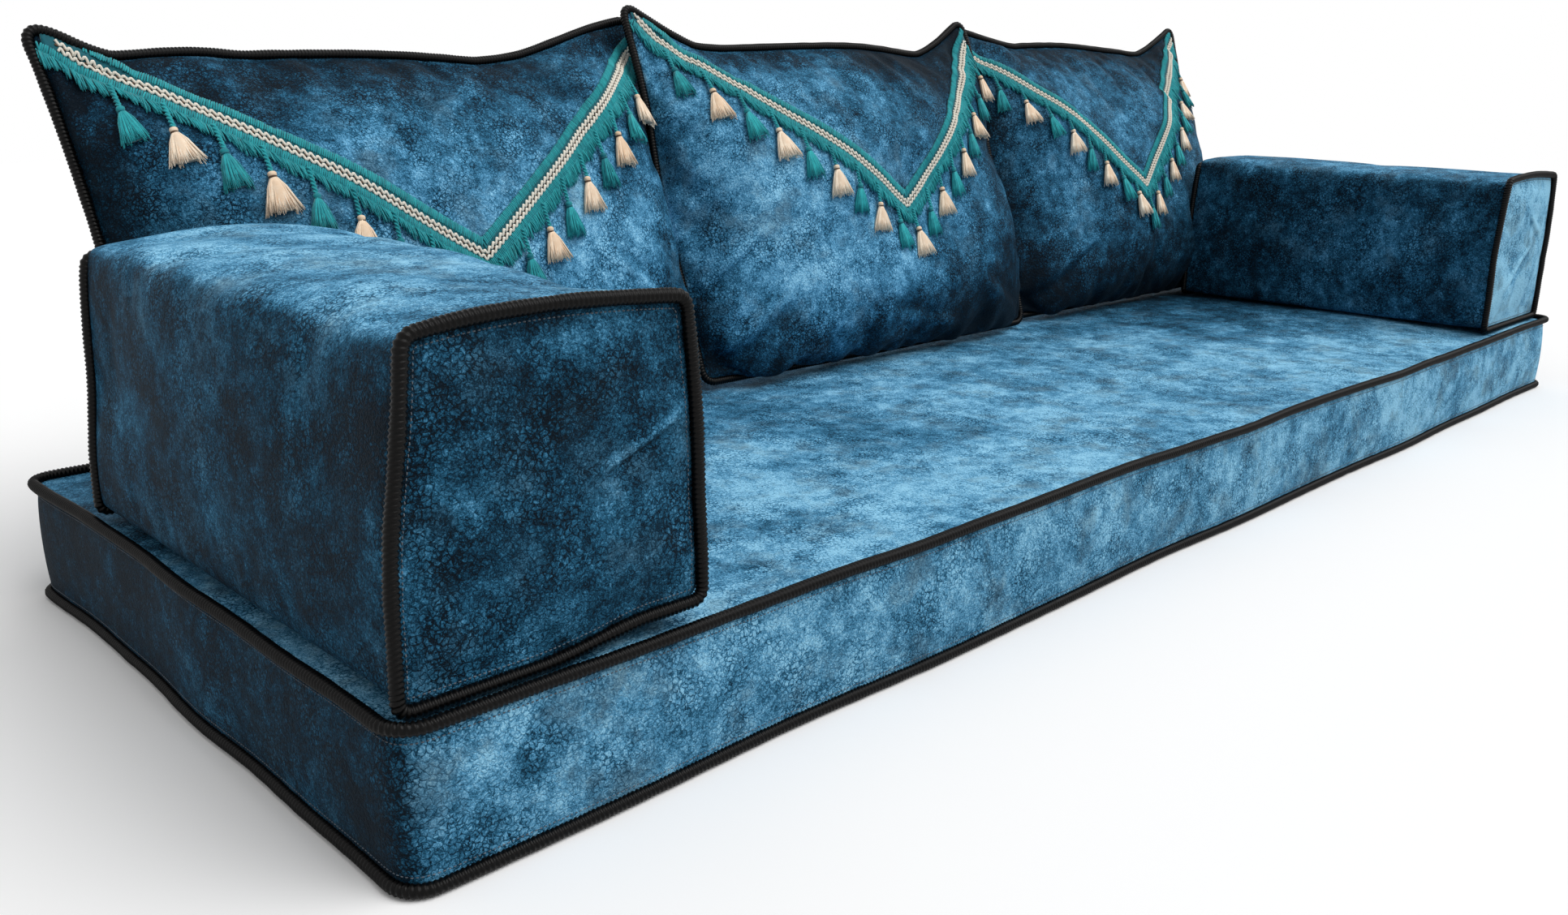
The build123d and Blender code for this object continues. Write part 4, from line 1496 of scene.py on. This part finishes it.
    def on_front(self, surface: BVHTree, u: np.ndarray, v: np.ndarray, lift: np.ndarray) -> tuple[np.ndarray, np.ndarray]:
        """Places some way off the front face, and the face's normals there.

        Args:
            surface: The cover's surface.
            u: Places across.
            v: Places up.
            lift: Distance off the face.

        Returns:
            Rows of places and rows of normals.
        """
        u, v, lift = (part.ravel() for part in np.broadcast_arrays(u, v, lift))
        starts = self.place(u, v, np.full_like(u, 0.2))
        sine, cosine = math.sin(self.lean), math.cos(self.lean)
        back = Vector((0, cosine, -sine))
        places, normals = [], []
        for start in starts:
            hit, normal, _, _ = surface.ray_cast(Vector(start), back, 0.21)
            if hit is None:
                hit, normal, _, _ = surface.find_nearest(Vector(start) + back * 0.2)
                normal = -back
            places.append(hit)
            normals.append(normal)
        normals = np.array(normals)
        return np.array(places) + normals * lift[:, None], normals

    def inside(self, u: np.ndarray, v: np.ndarray, margin: float) -> np.ndarray:
        """Whether places lie inside the outline by a margin."""
        edge_u, edge_v = self.rim()
        next_u, next_v = np.roll(edge_u, -1), np.roll(edge_v, -1)
        level = v[:, None]
        passes = (edge_v > level) != (next_v > level)
        rise = np.where(next_v == edge_v, 1, next_v - edge_v)
        crossing = edge_u + (level - edge_v) * (next_u - edge_u) / rise
        within = (passes & (u[:, None] < crossing)).sum(1) % 2 == 1
        return within & (self.seam_gap(u, v) > margin)

    def braid(self, surface: BVHTree) -> None:
        """Lay the braid: teal ground, slanted teal wefts and a plaited cream chain."""
        u = np.arange(-0.36, 0.36, 3 * MM)
        u = u[self.inside(u, self.vee.level(u), 2 * MM)]
        half = self.braid_width / 2
        across = np.array([-1.0, -0.94, -0.6, -0.2, 0.2, 0.6, 0.94, 1.0, 0.6, -0.6]) * half
        rise = np.array([0.2, 0.75, 0.95, 1.0, 1.0, 0.95, 0.75, 0.2, 0.0, 0.0]) * (self.braid_thickness - 0.4 * MM)
        grid_u = np.repeat(u, len(across))
        grid_v = np.concatenate([self.vee.below(np.full(len(across), x), across) for x in u])
        rows, _ = self.on_front(surface, grid_u, grid_v, np.tile(rise, len(u)) + 0.2 * MM)
        count, ring = len(u), len(across)
        faces = [
            (i * ring + j, i * ring + (j + 1) % ring, (i + 1) * ring + (j + 1) % ring, (i + 1) * ring + j)
            for i in range(count - 1)
            for j in range(ring)
        ]
        faces += [tuple(range(ring))[::-1], tuple(range((count - 1) * ring, count * ring))]
        ground = mesh_object(f"{self.name}_braid_ground", rows, faces, TEAL_DARK)
        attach(ground, self.name)
        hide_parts(f"{self.name}_braid")
        wefts = self.braid_rows(1.9 * MM, (-9.6 * MM, 9.6 * MM))
        model = rod("weft", 5, [(-1.0, 0.5, -0.4), (-0.75, 1.0, 0.1), (0.0, 1.0, 0.45), (0.75, 1.0, 0.1), (1.0, 0.5, -0.4)])
        self.set_on_braid(surface, "braid_wefts", model, wefts, 75, (0.95 * MM, 4.6 * MM, 0.9 * MM), TEAL_YARN)
        line = self.braid_rows(0.8 * MM, (self.chain_drop,))
        line = line[self.inside(line[:, 0], line[:, 1], 8 * MM)]
        phase = np.arange(len(line)) * 0.8 * MM * 2 * math.pi / self.chain_pitch
        for label, side in (("upper", -1), ("lower", 1)):
            drop = self.chain_drop + side * (self.chain_half + self.chain_swing * np.cos(phase))
            lift = self.braid_thickness + (0.9 + 0.4 * side * np.sin(phase)) * MM
            rows, normals = self.on_front(surface, line[:, 0], self.vee.below(line[:, 0], drop), lift)
            cord = laid_cord(f"{self.name}_braid_{label}_chain", rows, normals, 1.25 * MM, PALE_YARN, 0.3 * np.cos(phase) ** 2)
            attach(cord, self.name)
        eyes = line[:: round(self.chain_pitch / (0.8 * MM))]
        model = rod("eye", 6, [(-1.0, 0.5, 0), (-0.5, 1.0, 0.2), (0.5, 1.0, 0.2), (1.0, 0.5, 0)])
        self.set_on_braid(surface, "braid_eyes", model, eyes, 0, (1.1 * MM, 1.6 * MM, 0.8 * MM), BROWN_YARN)

    def braid_rows(self, pitch: float, drops: tuple[float, ...]) -> np.ndarray:
        """Evenly spaced places along the braid: across, up, and side of the apex."""
        fine = np.arange(-0.36, 0.36, 0.2 * MM)
        run = np.cumsum(self.vee.stretch(fine)) * 0.2 * MM
        u = np.interp(np.arange(run[0], run[-1], pitch), run, fine)
        rows = np.concatenate([np.stack([u, self.vee.below(u, drop), np.sign(u - self.vee.apex_u)], 1) for drop in drops])
        return rows[self.inside(rows[:, 0], rows[:, 1], 1.5 * MM)]

    def set_on_braid(
        self,
        surface: BVHTree,
        label: str,
        model: bpy.types.Object,
        rows: np.ndarray,
        slant: float,
        size: tuple[float, float, float],
        finish: Finish,
    ) -> None:
        """Set copies of a yarn on the braid.

        Args:
            surface: The cover's surface.
            label: End of the piece's name.
            model: The yarn.
            rows: Places from braid_rows.
            slant: Turn from the braid's direction, in degrees.
            size: The yarn's half sizes.
            finish: What it is dressed in.
        """
        places, normals = self.on_front(surface, rows[:, 0], rows[:, 1], np.full(len(rows), self.braid_thickness + 0.2 * MM))
        ahead, _ = self.on_front(surface, rows[:, 0] + 2 * MM, self.vee.level(rows[:, 0] + 2 * MM), np.zeros(len(rows)))
        here, _ = self.on_front(surface, rows[:, 0], self.vee.level(rows[:, 0]), np.zeros(len(rows)))
        along = unit(ahead - here)
        across = np.cross(normals, along)
        turn = np.radians(slant) * rows[:, 2:3]
        way = np.cos(turn) * along + np.sin(turn) * across
        piece = Copies().build(
            f"{self.name}_{label}", model, places, way, normals, np.tile(size, (len(rows), 1)), finish, 0.08, 0.06, self.seed
        )
        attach(piece, self.name)

    def tassel_phase(self, u: np.ndarray) -> np.ndarray:
        """Share of the way from one hanger to the next."""
        return (u / self.tassel_step + self.tassels / 2 + 0.5) % 1.0

    def fringe(self, surface: BVHTree) -> None:
        """Hang the brush fringe, longer between the hangers, over its teal backing."""
        rng = np.random.default_rng(self.seed)
        half = self.braid_width / 2
        u = np.concatenate([np.arange(-0.36, 0.36, 0.8 * MM) + shift for shift in (0, 0.4 * MM, 0.2 * MM)])
        layer = np.repeat([0.6, 1.5, 2.4], len(u) // 3) * MM
        v = self.vee.below(u, half - 1.5 * MM)
        keep = self.inside(u, v - 3 * MM, 1 * MM)
        u, v, layer = u[keep], v[keep], layer[keep]
        tuft = np.round(u / self.tuft_pitch)
        chance = np.random.default_rng(self.seed + 1).uniform(-1, 1, (600, 2))[tuft.astype(int) + 300]
        bell = np.clip(np.sin(math.pi * self.tassel_phase(u)), 0, 1) ** 0.45
        length = (5 + 11 * bell + 2.6 * chance[:, 0]) * MM * rng.uniform(0.88, 1.08, len(u))
        tip_u = u + 0.72 * (tuft * self.tuft_pitch - u) + (2.4 + 2.2 * chance[:, 1]) * MM
        places, normals = self.on_front(surface, u, v, layer)
        lower, _ = self.on_front(surface, tip_u, v - 15 * MM, layer + 1.2 * MM)
        way = unit(lower - places)
        thick = np.full(len(u), 0.62 * MM)
        model = rod("fringe_strand", 4, [(0.0, 0.9, 0.0), (0.45, 1.05, 0.9), (0.85, 0.9, 0.3), (1.0, 0.35, -0.4)])
        piece = Copies().build(
            f"{self.name}_fringe_strands",
            model,
            places,
            way,
            normals,
            np.stack([thick, length, thick], 1),
            TEAL_YARN,
            0.13,
            0.1,
            self.seed + 2,
        )
        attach(piece, self.name)
        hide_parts(f"{self.name}_fringe")

    def tassel_row(self) -> np.ndarray:
        """Places across of all the tassels."""
        return (np.arange(self.tassels) - self.tassels / 2 + 0.5) * self.tassel_step

    def skirt_model(self, width: float, seed: int) -> bpy.types.Object:
        """Bound head and cut skirt of one tassel, hanging along local Y from the head's top.

        Args:
            width: Width of the skirt at its cut end.
            seed: Seed of the strands.

        Returns:
            The model.
        """
        rng = np.random.default_rng(seed)
        head, tie = 5.5 * MM, 3.0 * MM
        points: list[np.ndarray] = []
        faces: list[tuple[int, ...]] = []
        tint: dict[int, float] = {}

        def sweep(spine: np.ndarray, radii: np.ndarray, flat: np.ndarray, sides: int) -> None:
            """Add one closed strand along a spine."""
            start = sum(len(rows) for rows in points)
            turn = np.linspace(0, 2 * math.pi, sides, endpoint=False)
            ring = np.stack([np.sin(turn), 0 * turn, np.cos(turn)], 1)
            rows = spine[:, None] + ring[None] * np.stack([radii, 0 * radii, radii * flat], 1)[:, None]
            points.append(rows.reshape(-1, 3))
            count = len(spine)
            for k in range(count - 1):
                for j in range(sides):
                    beside = (j + 1) % sides
                    faces.append((start + k * sides + j, start + k * sides + beside, start + (k + 1) * sides + beside, start + (k + 1) * sides + j))
            faces.append(tuple(range(start, start + sides))[::-1])
            faces.append(tuple(range(start + (count - 1) * sides, start + count * sides)))

        def column(y: np.ndarray) -> np.ndarray:
            """Spine straight along local Y."""
            return np.stack([0 * y, y, 0 * y], 1)

        y = np.array([0, 0.8, 2.2, 3.8, 5.2, 6.2]) * MM
        sweep(column(y), np.array([1.5, 3.2, 4.1, 3.9, 3.1, 2.8]) * MM, np.full(6, 0.85), 12)
        down = np.linspace(0, 1, 7)
        bell = tie + (width / 2 * 0.7 - tie) * down**0.8
        y = head + down * self.skirt_length * 0.93
        sweep(column(y), bell, np.linspace(0.9, 0.27, 7), 16)
        strands = 104
        for index in range(strands):
            angle = 2 * math.pi * (index + rng.uniform(-0.4, 0.4)) / strands
            stray = index % 31 == 7
            fan = (rng.uniform(0.84, 1.02) + 0.07 * math.sin(9 * angle)) * (1.25 if stray else 1)
            tip = np.array([math.sin(angle) * width / 2 * fan, 0, math.cos(angle) * 4.3 * MM * fan])
            root = np.array([math.sin(angle) * tie * 0.9, 0, math.cos(angle) * tie * 0.85])
            long = self.skirt_length * (rng.uniform(0.86, 1.02) + 0.05 * math.sin(5 * angle)) * (1.1 if stray else 1)
            share = np.array([0.0, 0.3, 0.65, 1.0])
            spine = root + (tip - root) * (share**0.82)[:, None]
            spine[:, 1] = head + share * long
            spine[1:, 0] += rng.normal(0, 0.35 * MM, 3)
            sweep(spine, np.array([0.6, 0.8, 0.74, 0.4]) * MM, np.ones(4), 4)
            tint[len(points) - 1] = rng.uniform(-0.3, 0.45)
        # The head and the inner cone take -0.25, darker than most strands: the cone seen between the strands is painted
        # shade.
        shades = np.concatenate([np.full(len(rows), tint.get(k, -0.25)) for k, rows in enumerate(points)])
        return mesh_object("skirt", np.concatenate(points), faces, None, tint=shades)

    def hang_tassels(self, surface: BVHTree) -> None:
        """Hang teal and cream tassels in turn from the fringe."""
        u = self.tassel_row()
        v = self.vee.below(u, self.braid_width / 2 + 0.3 * MM)
        tops, _ = self.on_front(surface, u, v, np.full(len(u), 3.6 * MM))
        heads, normals = self.on_front(surface, u, v - self.hanger_length, np.full(len(u), 4.6 * MM))
        reach = self.hanger_length + 26 * MM
        tails, _ = self.on_front(surface, u, np.maximum(v - reach, 4 * MM), np.full(len(u), 5.2 * MM))
        drop = unit(heads - tops)
        count = len(u)
        length = np.linalg.norm(heads - tops, axis=1)
        model = self.hanger_model()
        hangers = Copies().build(
            f"{self.name}_hangers",
            model,
            tops - drop * 3 * MM,
            drop,
            normals,
            np.stack([np.full(count, 1.3), (length + 4.5 * MM) / (24 * MM), np.full(count, 1.15)], 1),
            TEAL_YARN,
            0.04,
            0.0,
            self.seed,
        )
        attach(hangers, self.name)
        way = unit(tails - heads)
        for label, first, width, finish, slot in (
            ("teal", 0, 25 * MM, TEAL_YARN, Slot.TEAL),
            ("cream", 1, 33 * MM, CREAM_YARN, Slot.CREAM),
        ):
            pick = np.arange(first, count, 2)
            skirts = Copies().build(
                f"{self.name}_{label}_skirts",
                self.skirt_model(width, self.seed + first),
                heads[pick],
                way[pick],
                normals[pick],
                np.ones((len(pick), 3)),
                finish,
                0.09,
                0.06,
                self.seed + 3,
            )
            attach(skirts, self.name)
            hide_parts(f"{self.name}_{label}_tassels")
            ring = rod("tie", 12, [(-1.0, 3.0, 0), (-0.6, 3.7, 0), (0.0, 3.9, 0), (0.6, 3.7, 0), (1.0, 3.0, 0)])
            ties = Copies().build(
                f"{self.name}_{label}_ties",
                ring,
                heads[pick] + way[pick] * 5.6 * MM,
                way[pick],
                normals[pick],
                np.tile([MM, MM, 0.9 * MM], (len(pick), 1)),
                TEAL_DARK if label == "teal" else BROWN_YARN,
                0.05,
                0.05,
                self.seed + 3,
            )
            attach(ties, self.name)

    def hanger_model(self) -> bpy.types.Object:
        """Two-ply twisted cord, 24 mm long along local Y."""
        points, faces, sides, count = [], [], 6, 22
        for ply in (0, 1):
            start = len(points)
            for k in range(count):
                share = k / (count - 1)
                angle = 2 * math.pi * (share * 3.5 + ply / 2)
                for j in range(sides):
                    turn = 2 * math.pi * j / sides
                    points.append(
                        (
                            0.95 * MM * math.cos(angle) + 1.15 * MM * math.cos(turn),
                            share * 24 * MM,
                            0.95 * MM * math.sin(angle) - 1.15 * MM * math.sin(turn),
                        )
                    )
            for k in range(count - 1):
                for j in range(sides):
                    beside = (j + 1) % sides
                    faces.append((start + k * sides + j, start + k * sides + beside, start + (k + 1) * sides + beside, start + (k + 1) * sides + j))
            faces.append(tuple(range(start, start + sides))[::-1])
            faces.append(tuple(range(start + (count - 1) * sides, start + count * sides)))
        return mesh_object("hanger", np.array(points), faces, None)

    def finish(self, cover: bpy.types.Object) -> None:
        """Smooth and dress the stuffed cover, then pipe, trim and zip it.

        Args:
            cover: The cover after stuffing.
        """
        subdivide(cover, 1)
        dress_cover(cover, self.painted_light_and_tone, self.shape(cover))
        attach(cover, self.name)
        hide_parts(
            f"{self.name}_fibre_insert", f"{self.name}_front_panel", f"{self.name}_rear_panel"
        )
        piping = Piping().build(f"{self.name}_piping_wound", self.seam())
        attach(piping, self.name)
        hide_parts(f"{self.name}_piping")
        surface = surface_of(cover)
        self.braid(surface)
        self.fringe(surface)
        self.hang_tassels(surface)
        self.zip().build()
        log.info("%s: cover, piping, braid, fringe, tassels and zip", self.name)

    def zip(self) -> Zip:
        """Zip on the rear face, its chain running the other way across."""
        step = 0.5 * MM
        zero = np.zeros(1)
        high = float(self.rear_height(zero, np.array([self.zip_level + step]))[0])
        low = float(self.rear_height(zero, np.array([self.zip_level - step]))[0])
        here = float(self.rear_height(zero, np.array([self.zip_level]))[0])
        slope = (high - low) / (2 * step)
        origin = self.place(0.0, self.zip_level, -here)
        frame = self.place(np.zeros(1), np.zeros(1), np.zeros(1))[0]
        normal = self.place(0.0, -slope, -1.0) - frame
        return Zip(self.name, tuple(origin), (-1, 0, 0), tuple(normal), self.zip_length)


@dataclass
class Studio:
    """Pale floor, soft light and the camera."""

    focal_length: float = 29.99
    sensor: float = 36.0
    eye: tuple[float, float, float] = (-1.3055, -0.9365, 0.4558)
    yaw: float = math.radians(44.7)
    pitch: float = math.radians(16.03)
    roll: float = math.radians(0.61)
    floor_size: float = 14.0
    sky: float = 0.5
    sun: float = 2.1
    sun_spread: float = math.radians(50)
    sun_way: tuple[float, float, float] = (0.3, -0.5, 0.82)

    def camera(self) -> None:
        """Set up the camera."""
        ahead = Vector(
            (math.sin(self.yaw) * math.cos(self.pitch), math.cos(self.yaw) * math.cos(self.pitch), -math.sin(self.pitch))
        )
        right = Vector((math.cos(self.yaw), -math.sin(self.yaw), 0))
        up = right.cross(ahead)
        tilted = right * math.cos(self.roll) + up * math.sin(self.roll)
        risen = up * math.cos(self.roll) - right * math.sin(self.roll)
        made = bpy.data.objects.new("camera", bpy.data.cameras.new("camera"))
        made.data.lens, made.data.sensor_width = self.focal_length, self.sensor
        made.data.clip_start, made.data.clip_end = 0.01, 60
        made.matrix_world = Matrix(
            [(tilted[k], risen[k], -ahead[k], self.eye[k]) for k in range(3)] + [(0, 0, 0, 1)]
        )
        bpy.context.scene.collection.objects.link(made)
        bpy.context.scene.camera = made

    def light(self) -> None:
        """Set up an even sky, one broad soft lamp and a white background."""
        world = bpy.data.worlds.new("studio")
        world.use_nodes = True
        bpy.context.scene.world = world
        graph = NodeGraph(world.node_tree)
        world.node_tree.nodes.clear()
        path = graph.add("ShaderNodeLightPath").outputs
        seen = graph.math("MAXIMUM", path["Is Camera Ray"], path["Is Glossy Ray"])
        seen = graph.math("MAXIMUM", seen, path["Is Transmission Ray"])
        strength = graph.spread(seen, 0, 1, self.sky, 1.0)
        back = graph.add("ShaderNodeBackground", {"Color": (1, 1, 1, 1), "Strength": strength})
        graph.add("ShaderNodeOutputWorld", {0: back.outputs[0]})
        lamp = bpy.data.lights.new("key", "SUN")
        lamp.energy, lamp.angle = self.sun, self.sun_spread
        holder = bpy.data.objects.new("key", lamp)
        holder.rotation_euler = Vector(self.sun_way).to_track_quat("Z", "Y").to_euler()
        bpy.context.scene.collection.objects.link(holder)

    def floor(self) -> None:
        """Lay a white floor that keeps the shadow and reads as white around it."""
        half = self.floor_size / 2
        rows = np.array([(-half, -half, 0), (half, -half, 0), (half, half, 0), (-half, half, 0)])
        made = mesh_object("studio_floor", rows, [(0, 1, 2, 3)], None)
        white = bpy.data.materials.new("white_floor")
        white.use_nodes = True
        graph = NodeGraph(white.node_tree)
        shader = white.node_tree.nodes["Principled BSDF"].inputs
        path = graph.add("ShaderNodeLightPath").outputs
        seen = graph.math("MAXIMUM", path["Is Camera Ray"], path["Is Glossy Ray"])
        seen = graph.math("MAXIMUM", seen, path["Is Transmission Ray"])
        graph.tree.links.new(graph.blend(seen, (0.35, 0.35, 0.35, 1), (0.98, 0.98, 0.98, 1)), shader["Base Color"])
        shader["Roughness"].default_value = 0.9
        shader["Specular IOR Level"].default_value = 0.1
        made.data.materials.append(white)

    def build(self) -> None:
        """Build the whole studio."""
        bpy.context.scene.view_settings.view_transform = "Standard"
        self.camera()
        self.light()
        self.floor()
        log.info("studio: camera, lamps and floor")


def corners(box: tuple[Vector, Vector]) -> list[list[float]]:
    """Two corners as plain lists."""
    return [list(map(float, corner)) for corner in box]


def main() -> None:
    """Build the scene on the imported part."""
    logging.basicConfig(level=logging.INFO, format="%(name)s: %(message)s")
    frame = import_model()
    Studio().build()
    Mattress().build()
    # Each armrest has painted light and shade: the left one darker overall with painted light on its top, the right
    # one's front panel painted light.
    armrests = [
        Armrest(
            "arm_left",
            -880 * MM,
            12.5 * MM,
            seed=101,
            painted_light_and_tone=PaintedLightAndTone(-0.18, up=0.48, left=-0.06, front=0.06, seed=101),
            folds=[Fold((0.034, 0.11), (0.094, 0.136), 3.8 * MM, 2.8 * MM)],
            hem_lift=9 * MM,
            top_lift=(0.0, 5 * MM),
        ),
        Armrest(
            "arm_right",
            884 * MM,
            24 * MM,
            seed=131,
            painted_light_and_tone=PaintedLightAndTone(-0.08, up=0.2, left=-0.06, front=0.6, seed=131),
            folds=[Fold((-0.06, 0.05), (0.03, 0.11), 6 * MM, 2.5 * MM), Fold((0.0, 0.16), (0.07, 0.12), 6 * MM, 2 * MM)],
            top_lift=(3 * MM, 9 * MM),
            top_ripple=0.35,
        ),
    ]
    # Each cushion's lean paints light and shade across it: the middle and right ones darker to the right, the left one
    # lighter to the right.
    cushions = [
        BackCushion(
            "cushion_left",
            -613.6 * MM,
            229 * MM,
            seed=201,
            vee=Vee(4 * MM, 151 * MM, 0.72, 0.78),
            ear_moves=((-22 * MM, -30 * MM), (6 * MM, -6 * MM)),
            ear_runs=(60 * MM, 215 * MM),
            ear_rounds=(26 * MM, 12 * MM),
            side_draws=(9 * MM, -7 * MM),
            painted_light_and_tone=PaintedLightAndTone(-0.02, up=0.0, left=-0.1, lean=(0.28, 0, -0.2), seed=201),
            top_move=-24 * MM,
            folds=[Fold((0.1, 0.38), (0.0, 0.3), 9 * MM, 3 * MM), Fold((0.3, 0.05), (0.16, 0.15), 9 * MM, 3.5 * MM)],
        ),
        BackCushion(
            "cushion_middle",
            0.0,
            198 * MM,
            seed=231,
            vee=Vee(8 * MM, 173 * MM, 0.735, 0.755, 22 * MM, 26 * MM),
            ear_moves=((-2 * MM, 10 * MM), (-8 * MM, 12 * MM)),
            ear_runs=(95 * MM, 120 * MM),
            side_draws=(-3 * MM, -4 * MM),
            painted_light_and_tone=PaintedLightAndTone(0.02, up=0.0, left=0.02, lean=(-0.88, 0, -0.1), seed=231),
            top_move=-5 * MM,
            folds=[
                Fold((-0.3, 0.03), (-0.2, 0.08), 10 * MM, 4 * MM),
                Fold((-0.31, 0.1), (-0.22, 0.16), 7 * MM, 3.5 * MM),
                Fold((0.27, 0.03), (0.15, 0.07), 9 * MM, 3.5 * MM),
                Fold((0.1, 0.03), (-0.05, 0.05), 8 * MM, 3 * MM),
            ],
        ),
        BackCushion(
            "cushion_right",
            640.8 * MM,
            229 * MM,
            seed=261,
            vee=Vee(-16 * MM, 166 * MM, 0.8, 0.79),
            ear_moves=((-8 * MM, 8 * MM), (32 * MM, 30 * MM)),
            ear_runs=(150 * MM, 110 * MM),
            side_draws=(-6 * MM, 2 * MM),
            painted_light_and_tone=PaintedLightAndTone(-0.09, up=0.0, left=0.02, lean=(-0.3, 0, 0.1), seed=261),
            top_move=17 * MM,
            folds=[Fold((-0.27, 0.04), (-0.14, 0.1), 9 * MM, 4 * MM), Fold((0.05, 0.04), (0.2, 0.07), 9 * MM, 3 * MM)],
        ),
    ]
    owners = armrests + cushions
    covers = [owner.cover() for owner in owners]
    Stuffing(pressure=1.0, growth=0.008, cap=2.5 * MM, frames=10).fill(covers[:2])
    Stuffing().fill(covers[2:])
    for owner, cover in zip(owners, covers):
        owner.finish(cover)
    for owner in ["mattress"] + [owner.name for owner in owners]:
        for part in ("slider", "pull"):
            node = frame["nodes"][f"{owner}_zip_{part}"]
            node.data.materials.clear()
            node.data.materials.append(METAL.material())


if __name__ == "__main__":
    main()
